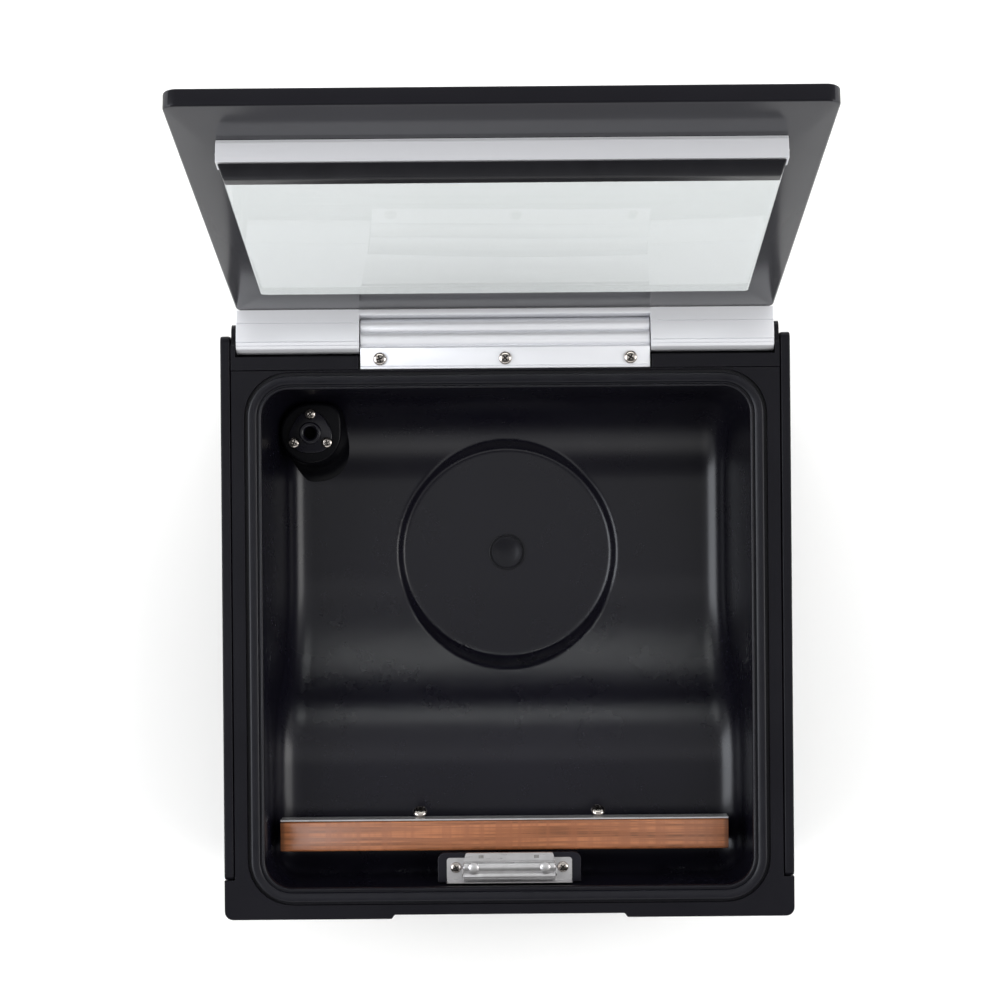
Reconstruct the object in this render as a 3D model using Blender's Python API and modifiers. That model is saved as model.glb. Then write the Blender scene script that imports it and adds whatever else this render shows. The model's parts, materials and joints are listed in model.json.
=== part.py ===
"""Chamber vacuum sealer with its lid open: +Z up, the front faces -Y, the feet stand on z = 0.

The x origin is the plane of symmetry. The y origin is the middle of the whole depth with the
lid leaning back. Heights of the upper pieces are given from the deck's top face.
"""

import math

import bmesh
import bpy
from mathutils import Matrix, Vector

# ---------------------------------------------------------------- driving dimensions (metres)
GAP = 0.0003                      # between pieces that touch
BODY_W = 0.360
BODY_D = 0.369
FRONT_Y = -0.2350
BACK_Y = FRONT_Y + BODY_D
DECK_Z = 0.222                    # top of the deck above the table
FOOT_H = 0.012
PANEL_T = 0.006                   # side panels
SHEET_T = 0.003                   # deck, fascia and rear panel
DECK_REAR = 0.1119                # seam between the deck and the rear rail
FRONT_BLOCK_D = 0.025             # full-width part of the deck in front of the side panels
RECESS_W = 0.1452                 # shallow recess in the middle of the front
RECESS_D = 0.0026

HINGE_Y = 0.1354
HINGE_DROP = 0.0107               # hinge axis below the deck
HINGE_Z = DECK_Z - HINGE_DROP
PIN_R = 0.0028
PIN_HOLE_R = 0.0031
BRACKET_W = 0.183
BARREL_R = 0.0092

LID_W = 0.340
LID_L = 0.3697
LID_T = 0.0095
LID_REAR = 0.0057                 # lid's hinge end in front of the axis, when closed
LID_FACE = HINGE_DROP + 0.0028    # lid's inner face above the axis, when closed
LID_OPEN = math.radians(102)      # from closed to leaning back past upright
GLASS_T = 0.004
WINDOW_W = 0.2974
WINDOW_NEAR = 0.0430              # window's ends, in front of the axis
WINDOW_FAR = 0.3057

GASKET_IN = (0.308, 0.3145)       # the lip's inner width and depth
GASKET_BAND = 0.0107
GASKET_R = 0.0173
GASKET_PROUD = 0.0025
GASKET_Y = -0.05755               # middle of the gasket and of the chamber's mouth

MOUTH_EDGE = 0.003                # chamber mouth outside the gasket's lip
WALL_T = 0.0025
FLOOR_DEPTH = 0.107
SHELF_DEPTH = 0.060
SIDE_DRAFT = 0.12                 # side wall's lean, across over down
WELL_R = 0.070
WELL_Y = -0.006
WELL_DEPTH = FLOOR_DEPTH + 0.005
WELL_DRAFT = 0.45
PLUG_R = 0.012
PORT_X = -0.1278
PORT_Y = 0.0738
BOSS_R = 0.020
BOSS_DEPTH = 0.062                # top of the port's boss below the deck
PORT_PCR = 0.0124                 # radius of the port's screw circle

BAR_Y = -0.1857
BAR_L = 0.287
BAR_SHIFT = -0.003                # the bar sits a little to the left on its posts
BAR_W = 0.0190
BAR_DEPTH = 0.0243                # top of the taped bar below the deck
BAR_H = 0.0285
BAR_LIFT = 0.0045
POST_X = 0.100
CLAMP_SCREW_X = 0.0575

LID_BAR_L = 0.296
LID_BAR_W = 0.012
LID_BAR_H = 0.0128
SILICONE_H = 0.009

CLIP_TOP = DECK_Z - 0.0207        # underside of the clip's base plate
CLIP_PIN_Y = -0.2075
CLIP_PIN_Z = DECK_Z - 0.0150
CLIP_SCREW_X = 0.0342
JAW_W = 0.0584

BUTTON_R = 0.006
BUTTON_XS = (-0.048, -0.016, 0.016, 0.048)
BUTTON_Z = 0.172
PANEL_Z = (0.158, 0.210)

FAN_X = 0.118
FAN_Z = 0.070
FAN_R = 0.0275
PUMP_Y = 0.052
PUMP_Z = 0.058

FINISHES = {                      # colour, roughness, metallic
    "satin_black": ((0.020, 0.020, 0.023), 0.38, 0.0),
    "chamber_black": ((0.016, 0.016, 0.018), 0.30, 0.0),
    "black_steel": ((0.022, 0.022, 0.025), 0.45, 0.3),
    "aluminium": ((0.80, 0.81, 0.83), 0.28, 1.0),
    "stainless": ((0.72, 0.71, 0.69), 0.18, 1.0),
    "rubber": ((0.012, 0.012, 0.013), 0.55, 0.0),
    "silicone": ((0.010, 0.010, 0.011), 0.50, 0.0),
    "glass": ((0.86, 0.89, 0.88), 0.03, 0.0),
    "sealing_tape": ((0.36, 0.16, 0.08), 0.45, 0.0),
    "bar_black": ((0.018, 0.018, 0.019), 0.50, 0.0),
    "gloss_black": ((0.010, 0.010, 0.012), 0.08, 0.0),
    "button_grey": ((0.55, 0.56, 0.58), 0.35, 0.0),
    "circuit_board": ((0.02, 0.16, 0.06), 0.50, 0.0),
    "copper": ((0.72, 0.36, 0.20), 0.35, 1.0),
    "iron": ((0.30, 0.30, 0.32), 0.50, 0.8),
    "hose": ((0.70, 0.72, 0.72), 0.40, 0.0),
}


# ---------------------------------------------------------------- helpers
def clear_scene():
    for obj in list(bpy.data.objects):
        bpy.data.objects.remove(obj, do_unlink=True)


def new_collection(name):
    collection = bpy.data.collections.new(name)
    bpy.context.scene.collection.children.link(collection)
    return collection


def give_finish(obj, finish):
    colour, roughness, metallic = FINISHES[finish]
    material = bpy.data.materials.new(f"{obj.name}_{finish}")
    material.use_nodes = True
    shader = material.node_tree.nodes["Principled BSDF"]
    shader.inputs["Base Color"].default_value = (*colour, 1.0)
    shader.inputs["Roughness"].default_value = roughness
    shader.inputs["Metallic"].default_value = metallic
    if finish == "glass":
        shader.inputs["Transmission Weight"].default_value = 1.0
    obj.data.materials.clear()
    obj.data.materials.append(material)


def place(name, mesh, finish, parent=None):
    """A finished piece of the sealer."""
    obj = bpy.data.objects.new(name, mesh)
    PARTS.objects.link(obj)
    give_finish(obj, finish)
    obj.parent = parent
    return obj


def cutter(name, mesh, parent=None):
    obj = bpy.data.objects.new(name, mesh)
    CUTTERS.objects.link(obj)
    obj.hide_render = True
    obj.display_type = "WIRE"
    obj.parent = parent
    return obj


def boolean(obj, other, operation="DIFFERENCE"):
    modifier = obj.modifiers.new(f"{operation.lower()}_{other.name}", "BOOLEAN")
    modifier.operation = operation
    modifier.object = other


def bevel(obj, width, segments=2, angle=math.radians(40)):
    modifier = obj.modifiers.new("edge", "BEVEL")
    modifier.width = width
    modifier.segments = segments
    modifier.limit_method = "ANGLE"
    modifier.angle_limit = angle


def mesh_of(build, smooth_angle=None):
    """A mesh that the function build makes in a bmesh."""
    work = bmesh.new()
    build(work)
    mesh = bpy.data.meshes.new("mesh")
    work.to_mesh(mesh)
    work.free()
    if smooth_angle:
        mesh.shade_smooth()
        mesh.set_sharp_from_angle(angle=smooth_angle)
    return mesh


def add_box(work, low, high):
    size = [b - a for a, b in zip(low, high)]
    middle = [(a + b) / 2 for a, b in zip(low, high)]
    matrix = Matrix.Translation(middle) @ Matrix.Diagonal((*size, 1.0))
    bmesh.ops.create_cube(work, size=1.0, matrix=matrix)


def box_mesh(low, high):
    return mesh_of(lambda work: add_box(work, low, high))


AXIS_TURN = {
    "x": Matrix.Rotation(math.radians(90), 4, "Y"),
    "y": Matrix.Rotation(math.radians(-90), 4, "X"),
    "z": Matrix.Identity(4),
}


def add_cylinder(work, centre, length, r1, r2=None, axis="z", sides=24):
    """A cylinder or cone about centre; r1 is at the low end of its axis."""
    matrix = Matrix.Translation(centre) @ AXIS_TURN[axis]
    bmesh.ops.create_cone(
        work, cap_ends=True, segments=sides, radius1=r1,
        radius2=r1 if r2 is None else r2, depth=length, matrix=matrix,
    )


def cylinder_mesh(centre, length, r1, r2=None, axis="z", sides=24):
    build = lambda work: add_cylinder(work, centre, length, r1, r2, axis, sides)
    return mesh_of(build, smooth_angle=math.radians(35))


def rounded_rect(x0, x1, y0, y1, radius, steps=6):
    """Outline of a rectangle with round corners, anticlockwise."""
    corners = ((x1, y1, 0), (x0, y1, 90), (x0, y0, 180), (x1, y0, 270))
    points = []
    for x, y, start in corners:
        cx = x - math.copysign(radius, x - (x0 + x1) / 2)
        cy = y - math.copysign(radius, y - (y0 + y1) / 2)
        for step in range(steps + 1):
            angle = math.radians(start + 90 * step / steps)
            points.append((cx + radius * math.cos(angle), cy + radius * math.sin(angle)))
    return points


def arc(cx, cy, radius, start, end, steps):
    """Points of an arc, angles in degrees."""
    angles = [math.radians(start + (end - start) * i / steps) for i in range(steps + 1)]
    return [(cx + radius * math.cos(a), cy + radius * math.sin(a)) for a in angles]


def flat_mesh(outlines, low, high, plane="xy"):
    """Flat outlines (the first is the outside, the rest are holes) made thick.

    In plane xy the outline is (x, y) and runs from z = low to high; in yz it is (y, z) and runs
    along x; in xz it is (x, z) and runs along y.
    """
    curve = bpy.data.curves.new("outline", "CURVE")
    curve.dimensions = "2D"
    curve.fill_mode = "BOTH"
    curve.extrude = (high - low) / 2
    for points in outlines:
        spline = curve.splines.new("POLY")
        spline.points.add(len(points) - 1)
        for point, (u, v) in zip(spline.points, points):
            point.co = (u, v, 0.0, 1.0)
        spline.use_cyclic_u = True
    guide = bpy.data.objects.new("outline", curve)
    bpy.context.scene.collection.objects.link(guide)
    bpy.context.view_layer.update()
    graph = bpy.context.evaluated_depsgraph_get()
    mesh = bpy.data.meshes.new_from_object(guide.evaluated_get(graph))
    bpy.data.objects.remove(guide)
    middle = (low + high) / 2
    turns = {
        "xy": Matrix.Translation((0, 0, middle)),
        "yz": Matrix.Translation((middle, 0, 0))
        @ Matrix(((0, 0, 1, 0), (1, 0, 0, 0), (0, 1, 0, 0), (0, 0, 0, 1))),
        "xz": Matrix.Translation((0, middle, 0))
        @ Matrix(((1, 0, 0, 0), (0, 0, -1, 0), (0, 1, 0, 0), (0, 0, 0, 1))),
    }
    mesh.transform(turns[plane])
    work = bmesh.new()
    work.from_mesh(mesh)
    bmesh.ops.remove_doubles(work, verts=work.verts, dist=1e-6)
    bmesh.ops.recalc_face_normals(work, faces=work.faces)
    work.to_mesh(mesh)
    work.free()
    return mesh


def tube(name, points, radius, finish):
    """A round tube along a smooth path through the points."""
    curve = bpy.data.curves.new(name, "CURVE")
    curve.dimensions = "3D"
    curve.bevel_depth = radius
    curve.bevel_resolution = 2
    curve.use_fill_caps = True
    spline = curve.splines.new("POLY")
    smooth = smooth_path(points, steps=5)
    spline.points.add(len(smooth) - 1)
    for point, co in zip(spline.points, smooth):
        point.co = (*co, 1.0)
    obj = bpy.data.objects.new(name, curve)
    PARTS.objects.link(obj)
    give_finish(obj, finish)
    return obj


def smooth_path(points, steps):
    """Catmull-Rom points through the given ones."""
    knots = [Vector(p) for p in points]
    knots = [2 * knots[0] - knots[1], *knots, 2 * knots[-1] - knots[-2]]
    path = []
    for a, b, c, d in zip(knots, knots[1:], knots[2:], knots[3:]):
        for step in range(steps):
            t = step / steps
            path.append(0.5 * (2 * b + (c - a) * t + (2 * a - 5 * b + 4 * c - d) * t**2
                               + (3 * b - a - 3 * c + d) * t**3))
    path.append(knots[-2])
    return path


def dome_head(work, centre, radius, height, turn=Matrix.Identity(4), sides=14):
    """A pan head whose flat side sits at centre, pointing along the turned +Z."""
    profile = ((0.0, 0.92), (0.45, 1.0), (0.8, 0.86), (1.0, 0.6))
    matrix = Matrix.Translation(centre) @ turn
    for (z0, r0), (z1, r1) in zip(profile, profile[1:]):
        bmesh.ops.create_cone(
            work, cap_ends=False, segments=sides, radius1=r0 * radius, radius2=r1 * radius,
            depth=(z1 - z0) * height,
            matrix=matrix @ Matrix.Translation((0, 0, (z0 + z1) / 2 * height)),
        )
    bmesh.ops.remove_doubles(work, verts=work.verts, dist=1e-6)
    bmesh.ops.holes_fill(work, edges=work.edges, sides=sides)
    bmesh.ops.recalc_face_normals(work, faces=work.faces)


def screws(name, spots, radius, height, turn=Matrix.Identity(4)):
    """Pan-head screws of one size, one object each."""
    for i, spot in enumerate(spots):
        mesh = mesh_of(lambda work: dome_head(work, spot, radius, height, turn), math.radians(50))
        place(f"{name}_{i + 1}", mesh, "stainless")


# ---------------------------------------------------------------- chamber
def wall_y(depth, back):
    """Middle of the chamber's back or front wall at a depth below the deck."""
    half = GASKET_IN[1] / 2 + MOUTH_EDGE
    lean = 0.06 if back else 0.08
    return GASKET_Y + (half - lean * depth if back else lean * depth - half)


def chamber_corners(offset, top):
    """Corners (y, height from the deck, rounding) of the chamber's side view, back to front."""
    ramp_foot = -0.040
    ramp_top = -0.1045
    return offset_corners([
        (wall_y(-top, True), top, 0.0),
        (wall_y(FLOOR_DEPTH, True), -FLOOR_DEPTH, 0.056),
        (ramp_foot, -FLOOR_DEPTH, 0.060),
        (ramp_top, -SHELF_DEPTH, 0.014),
        (wall_y(SHELF_DEPTH, False), -SHELF_DEPTH, 0.018),
        (wall_y(-top, False), top, 0.0),
    ], offset)


def unit(a, b):
    length = math.hypot(b[0] - a[0], b[1] - a[1])
    return (b[0] - a[0]) / length, (b[1] - a[1]) / length


def offset_corners(corners, offset):
    """The same corners moved outwards by offset, with their roundings to match."""
    moved = []
    for i, (y, z, radius) in enumerate(corners):
        before = unit(corners[i - 1], corners[i]) if i else None
        after = unit(corners[i], corners[i + 1]) if i + 1 < len(corners) else None
        if before is None or after is None:
            sign = 1 if before is None else -1
            moved.append((y + sign * offset, z, 0.0))
            continue
        turn = before[0] * after[1] - before[1] * after[0]
        cosine = before[0] * after[0] + before[1] * after[1]
        outward = (-(before[1] + after[1]), before[0] + after[0])
        scale = offset / (1 + cosine)
        radius += offset if turn < 0 else -offset
        moved.append((y + outward[0] * scale, z + outward[1] * scale, radius))
    return moved


def rounded_stations(corners, steps):
    """Points of the rounded side view, each with the normal that points into the chamber."""
    first, last = corners[0], corners[-1]
    stations = [(first[0], first[1], -1.0, 0.0)]
    for before, (y, z, radius), after in zip(corners, corners[1:], corners[2:]):
        d0 = unit(before, (y, z))
        d1 = unit((y, z), after)
        turn = math.atan2(d0[0] * d1[1] - d0[1] * d1[0], d0[0] * d1[0] + d0[1] * d1[1])
        tangent = radius * math.tan(abs(turn) / 2)
        start = (y - d0[0] * tangent, z - d0[1] * tangent)
        sign = 1 if turn < 0 else -1
        n0 = (d0[1], -d0[0])
        centre = (start[0] + sign * n0[0] * radius, start[1] + sign * n0[1] * radius)
        count = max(2, round(steps * abs(turn) / (math.pi / 2)))
        for step in range(count + 1):
            a = turn * step / count
            n = (n0[0] * math.cos(a) - n0[1] * math.sin(a),
                 n0[0] * math.sin(a) + n0[1] * math.cos(a))
            stations.append((centre[0] - sign * n[0] * radius,
                             centre[1] - sign * n[1] * radius, *n))
    stations.append((last[0], last[1], 1.0, 0.0))
    return stations


def basin_mesh(offset, top, steps=8, side_steps=5):
    """The chamber's hollow, grown by offset, as a closed solid that reaches up to top."""
    def half_width(z):
        return GASKET_IN[0] / 2 + MOUTH_EDGE + SIDE_DRAFT * z + offset

    def build(work):
        rows = []
        for y, z, ny, nz in rounded_stations(chamber_corners(offset, top), steps):
            radius = 0.020 + 0.075 * max(-FLOOR_DEPTH, min(z, 0.0)) + offset
            end = half_width(z + nz * radius)
            half = []
            for step in range(side_steps + 1):
                a = math.pi / 2 * step / side_steps
                rise = radius * (1 - math.cos(a))
                half.append((end - radius * (1 - math.sin(a)), y + ny * rise, z + nz * rise))
            left = [(-px, py, pz) for px, py, pz in reversed(half)]
            rows.append([work.verts.new((px, py, DECK_Z + pz)) for px, py, pz in left + half])
        for row, following in zip(rows, rows[1:]):
            for a, b, c, d in zip(row, row[1:], following[1:], following):
                work.faces.new((a, b, c, d))
        work.faces.new([row[0] for row in rows])
        work.faces.new([row[-1] for row in reversed(rows)])
        work.faces.new(rows[0] + list(reversed(rows[-1])))
        bmesh.ops.recalc_face_normals(work, faces=work.faces)
    return mesh_of(build)


def cone_cutter(name, x, y, low, high, r_low, r_high, sides=40):
    centre = (x, y, DECK_Z + (low + high) / 2)
    return cutter(name, cylinder_mesh(centre, high - low, r_low, r_high, sides=sides))


def chamber_tub():
    width = BODY_W / 2 - 0.013
    rim = rounded_rect(-width, width, -0.2275, 0.1115, 0.030)
    top = DECK_Z - SHEET_T - GAP
    tub = place("chamber_tub", flat_mesh([rim], top - 0.0032, top), "chamber_black")
    bowl = cutter("bowl_outside", basin_mesh(WALL_T, -0.0045))
    boolean(tub, bowl, "UNION")
    rise = 0.030
    well_outside = cone_cutter(
        "well_outside", 0, WELL_Y, -WELL_DEPTH - WALL_T, -WELL_DEPTH + rise,
        WELL_R + 0.0013, WELL_R + 0.0025 + (rise + WALL_T) * WELL_DRAFT)
    boolean(tub, well_outside, "UNION")
    hollow = cutter("bowl_inside", basin_mesh(0.0, 0.005))
    boss = cone_cutter("boss", PORT_X, PORT_Y, -0.120, -BOSS_DEPTH, BOSS_R + 0.005, BOSS_R)
    boolean(hollow, boss)
    boolean(tub, hollow)
    well_inside = cone_cutter(
        "well_inside", 0, WELL_Y, -WELL_DEPTH, -WELL_DEPTH + rise,
        WELL_R, WELL_R + rise * WELL_DRAFT)
    boolean(tub, well_inside)
    for i, (x, y, radius, low, high) in enumerate((
        (PORT_X, PORT_Y, 0.0145, -0.130, -BOSS_DEPTH - 0.004),
        (PORT_X, PORT_Y, 0.0052, -0.080, -0.050),
        (POST_X, BAR_Y, 0.0050, -0.070, -0.050),
        (-POST_X, BAR_Y, 0.0050, -0.070, -0.050),
        (0, WELL_Y, 0.0045, -0.120, -0.105),
    )):
        boolean(tub, cone_cutter(f"tub_hole_{i}", x, y, low, high, radius, radius, sides=20))
    return tub


def chamber_gasket():
    hx, hy = GASKET_IN[0] / 2, GASKET_IN[1] / 2
    inner = rounded_rect(-hx, hx, GASKET_Y - hy, GASKET_Y + hy, GASKET_R, 8)
    ox, oy = hx + GASKET_BAND, hy + GASKET_BAND
    outer = rounded_rect(-ox, ox, GASKET_Y - oy, GASKET_Y + oy, GASKET_R + GASKET_BAND, 8)
    mesh = flat_mesh([outer, inner], DECK_Z - SHEET_T, DECK_Z + GASKET_PROUD)
    bevel(place("chamber_gasket", mesh, "rubber"), 0.0014, 2)


def well_plug():
    def build(work):
        z = DECK_Z - WELL_DEPTH + GAP
        add_cylinder(work, (0, WELL_Y, z + 0.0011), 0.0022, PLUG_R, sides=28)
    bevel(place("well_plug", mesh_of(build, math.radians(40)), "rubber"), 0.0006, 1)


def vacuum_port():
    top = DECK_Z - BOSS_DEPTH + GAP
    disc = cylinder_mesh((PORT_X, PORT_Y, top + 0.0015), 0.003, 0.0148, sides=30)
    fitting = place("port_fitting", disc, "satin_black")
    spout = cylinder_mesh((PORT_X, PORT_Y, top + 0.0050), 0.008, 0.0073, sides=20)
    boolean(fitting, cutter("port_spout", spout), "UNION")
    bore = cylinder_mesh((PORT_X, PORT_Y, top), 0.03, 0.0038, sides=16)
    boolean(fitting, cutter("port_bore", bore))
    spots = [
        (PORT_X + PORT_PCR * math.cos(math.radians(a)),
         PORT_Y + PORT_PCR * math.sin(math.radians(a)), top + 0.003 + GAP)
        for a in (90, 210, 330)
    ]
    screws("port_screw", spots, 0.0030, 0.0020)


# ---------------------------------------------------------------- cabinet
def top_deck():
    w, w_in = BODY_W / 2, BODY_W / 2 - PANEL_T - 0.0006
    block, r = FRONT_Y + FRONT_BLOCK_D, 0.0054
    half_recess = RECESS_W / 2
    right = (
        [(w_in, DECK_REAR), (w_in, block), (w, block)]
        + arc(w - r, FRONT_Y + r, r, 0, -90, 5)
        + [(half_recess + 0.002, FRONT_Y), (half_recess, FRONT_Y + RECESS_D)]
    )
    left = [(-x, y) for x, y in reversed(right)]
    hx, hy = GASKET_IN[0] / 2 + GASKET_BAND + GAP, GASKET_IN[1] / 2 + GASKET_BAND + GAP
    mouth = rounded_rect(-hx, hx, GASKET_Y - hy, GASKET_Y + hy, GASKET_R + GASKET_BAND + GAP, 8)
    mesh = flat_mesh([right + left, mouth], DECK_Z - SHEET_T, DECK_Z)
    bevel(place("top_deck", mesh, "satin_black"), 0.0006, 1)


def rear_rail():
    """Rail behind the deck: a notch for the lid's knuckles, a pocket for the centre bracket."""
    y0, wall, back = DECK_REAR + GAP, HINGE_Y - 0.0148, BACK_Y
    top, floor, low = DECK_Z, DECK_Z - 0.0260, DECK_Z - 0.0310
    w = BODY_W / 2 - PANEL_T - 0.0006
    section = [(y0, low), (back, low), (back, floor), (wall, floor), (wall, top), (y0, top)]
    rail = place("rear_rail", flat_mesh([section], -w, w, "yz"), "satin_black")
    lug = ([(wall - 0.002, floor - 0.002), (HINGE_Y - 0.002, floor - 0.002)]
           + arc(HINGE_Y, HINGE_Z, 0.0062, -60, 100, 7)
           + [(HINGE_Y - 0.0066, top - 0.0012), (HINGE_Y - 0.0078, top),
              (wall - 0.002, top)])
    for side in (-1, 1):
        low_x, high_x = sorted((side * (LID_W / 2 + 0.0006), side * w))
        ear = cutter(f"rail_lug_{side + 1}", flat_mesh([lug], low_x, high_x, "yz"))
        boolean(rail, ear, "UNION")
    slot = BRACKET_W / 2 + 0.0013
    pocket = cutter("bracket_pocket", box_mesh(
        (-slot, y0 - 0.01, DECK_Z - 0.0044), (slot, wall + 0.01, DECK_Z + 0.01)))
    boolean(rail, pocket)
    boolean(rail, pin_hole("rail_pin_hole", HINGE_Y, HINGE_Z))


def pin_hole(name, y, z, parent=None, length=0.4):
    mesh = cylinder_mesh((0, y, z), length, PIN_HOLE_R, axis="x", sides=24)
    return cutter(name, mesh, parent)


def hinge_bracket():
    """Fixed centre bracket: a double-ribbed barrel round the pin and a screwed-down flange."""
    y, z, r = HINGE_Y, HINGE_Z, BARREL_R
    top, low = DECK_Z - 0.0016, DECK_Z - 0.0041
    section = (
        arc(y, z, r, -150, 5, 7)
        + arc(y + 0.0040, z + 0.0032, 0.0042, -5, 144, 6)[:-1]
        + arc(y - 0.0039, z + 0.0044, 0.0047, 15, 150, 6)
        + [(y - 0.0087, z + 0.0072), (y - 0.0094, top), (0.1124, top), (0.1124, low),
           (y - 0.0105, low)]
    )
    mesh = flat_mesh([section], -BRACKET_W / 2, BRACKET_W / 2, "yz")
    bracket = place("hinge_bracket", mesh, "aluminium")
    boolean(bracket, pin_hole("bracket_pin_hole", HINGE_Y, HINGE_Z))
    spots = [(x, 0.1188, top + GAP) for x in (-0.0793, 0.0, 0.0793)]
    screws("hinge_screw", spots, 0.0038, 0.0022)


def hinge_pin():
    mesh = cylinder_mesh((0, HINGE_Y, HINGE_Z), BODY_W - 0.0130, PIN_R, axis="x", sides=20)
    place("hinge_pin", mesh, "stainless")


def side_panels():
    low, high = FOOT_H + 0.001, DECK_Z + 0.0006
    y0, y1 = FRONT_Y + FRONT_BLOCK_D + GAP, BACK_Y
    for name, side in (("side_panel_left", -1), ("side_panel_right", 1)):
        x0, x1 = sorted((side * (BODY_W / 2 - PANEL_T), side * BODY_W / 2))
        outline = rounded_rect(y0, y1, low, high, 0.004, 3)
        panel = place(name, flat_mesh([outline], x0, x1, "yz"), "satin_black")
        bevel(panel, 0.0012, 1)


def front_fascia():
    w, r = BODY_W / 2, 0.0054
    y1 = FRONT_Y + FRONT_BLOCK_D - GAP
    half = RECESS_W / 2
    outer = (
        [(w, y1)] + arc(w - r, FRONT_Y + r, r, 0, -90, 4)
        + [(half + 0.002, FRONT_Y), (half, FRONT_Y + RECESS_D)]
    )
    inner_y = FRONT_Y + RECESS_D + SHEET_T
    inside = [(-w + SHEET_T, y1), (-w + SHEET_T, inner_y), (w - SHEET_T, inner_y),
              (w - SHEET_T, y1)]
    left = [(-x, y) for x, y in reversed(outer)]
    top = DECK_Z - SHEET_T - GAP
    low = FOOT_H + 0.001
    fascia = place("front_fascia", flat_mesh([outer + left + inside], low, top), "satin_black")
    window = cutter("board_window", box_mesh((-0.060, FRONT_Y - 0.01, 0.163),
                                             (0.060, FRONT_Y + 0.01, 0.205)))
    boolean(fascia, window)


def rear_panel():
    w = BODY_W / 2 - PANEL_T - 0.0006
    outline = rounded_rect(-w, w, FOOT_H + 0.0035, DECK_Z - 0.0313, 0.002, 1)
    mesh = flat_mesh([outline], BACK_Y - SHEET_T, BACK_Y, "xz")
    panel = place("rear_panel", mesh, "black_steel")
    opening = box_mesh((-0.1445, BACK_Y - 0.01, 0.0435), (-0.0835, BACK_Y + 0.01, 0.0665))
    boolean(panel, cutter("inlet_cut", opening))
    count = 7
    for i in range(count):
        z = FAN_Z + FAN_R * 1.7 * ((i + 0.5) / count - 0.5)
        half = math.sqrt(max(FAN_R**2 - (z - FAN_Z)**2, 0)) * 0.98
        slot = box_mesh((FAN_X - half, BACK_Y - 0.01, z - 0.0020),
                        (FAN_X + half, BACK_Y + 0.01, z + 0.0020))
        boolean(panel, cutter(f"fan_slot_{i}", slot))


def base_pan():
    w = BODY_W / 2 - PANEL_T - 0.0006
    low = (-w, FRONT_Y + RECESS_D + SHEET_T + GAP, FOOT_H)
    high = (w, BACK_Y - SHEET_T - GAP, FOOT_H + 0.022)

    def build(work):
        add_box(work, low, high)
        lid = [face for face in work.faces if face.normal.z > 0.9]
        bmesh.ops.delete(work, geom=lid, context="FACES")
    pan = place("base_pan", mesh_of(build), "black_steel")
    skin = pan.modifiers.new("sheet", "SOLIDIFY")
    skin.thickness = 0.0015
    skin.offset = -1
    for i in range(6):
        x = -0.075 + i * 0.030
        slot = box_mesh((x - 0.003, -0.190, 0.0), (x + 0.003, -0.120, FOOT_H + 0.01))
        boolean(pan, cutter(f"pan_slot_{i}", slot))


def feet():
    height = FOOT_H - GAP
    for end, y in (("front", -0.200), ("rear", 0.100)):
        for side, x in (("left", -0.150), ("right", 0.150)):
            mesh = cylinder_mesh((x, y, height / 2), height, 0.0125, 0.0145, sides=20)
            place(f"foot_{end}_{side}", mesh, "rubber")


# ---------------------------------------------------------------- front controls
def control_panel():
    back = FRONT_Y + RECESS_D - GAP
    front = back - 0.0014
    half = RECESS_W / 2 - 0.001
    outline = rounded_rect(-half, half, *PANEL_Z, 0.004, 3)
    holes = [arc(x, BUTTON_Z, BUTTON_R + 0.0004, 0, 342, 19) for x in BUTTON_XS]
    holes.append(rounded_rect(-0.0303, 0.0303, 0.1857, 0.2023, 0.0015, 2))
    place("control_panel", flat_mesh([outline, *holes], front, back, "xz"), "gloss_black")
    lens = rounded_rect(-0.030, 0.030, 0.186, 0.202, 0.0012, 2)
    place("display_window", flat_mesh([lens], front + 0.0002, back + 0.003, "xz"), "glass")
    board = box_mesh((-0.058, -0.2265, 0.161), (0.058, -0.2249, 0.207))
    place("control_board", board, "circuit_board")
    names = ("power", "vacuum", "seal", "stop")
    for name, x in zip(names, BUTTON_XS):
        y0, y1 = FRONT_Y + 0.0001, -0.2283
        mesh = cylinder_mesh((x, (y0 + y1) / 2, BUTTON_Z), y1 - y0, BUTTON_R, axis="y", sides=20)
        place(f"button_{name}", mesh, "button_grey")


# ---------------------------------------------------------------- seal bar
def seal_bar():
    top = DECK_Z - BAR_DEPTH
    left, right = BAR_SHIFT - BAR_L / 2, BAR_SHIFT + BAR_L / 2
    low = top - BAR_H
    y0, y1 = BAR_Y - BAR_W / 2, BAR_Y + BAR_W / 2
    t = 0.0006
    core_mesh = box_mesh((left + 0.0005, y0 + t + GAP, low),
                         (right - 0.0005, y1 - t - GAP, top - 0.0019))
    core = place("seal_bar_core", core_mesh, "bar_black")
    for i, x in enumerate((-POST_X, POST_X)):
        bottom = DECK_Z - 0.098
        post = cylinder_mesh((x, BAR_Y, (bottom + low) / 2), low - bottom + 0.004, 0.004, sides=20)
        boolean(core, cutter(f"lift_post_{i}", post), "UNION")
    wire = box_mesh((left, BAR_Y - 0.004, top - 0.0016), (right, BAR_Y + 0.004, top - 0.0010))
    place("heating_strip", wire, "copper")
    leg = top - 0.014
    wrap = [(y0, leg), (y0 + t, leg), (y0 + t, top - t), (y1 - t, top - t), (y1 - t, leg),
            (y1, leg), (y1, top), (y0, top)]
    place("sealing_tape", flat_mesh([wrap], left, right, "yz"), "sealing_tape")
    strip = box_mesh((left, y1 + GAP, top - 0.016), (right, y1 + GAP + 0.0009, top - 0.0002))
    place("clamp_strip", strip, "stainless")
    turn = Matrix.Rotation(math.radians(-50), 4, "X")
    spots = [(x, y1 + 0.0042, top - 0.0135) for x in (-CLAMP_SCREW_X, CLAMP_SCREW_X)]
    screws("clamp_screw", spots, 0.0037, 0.0026, turn)


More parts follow.
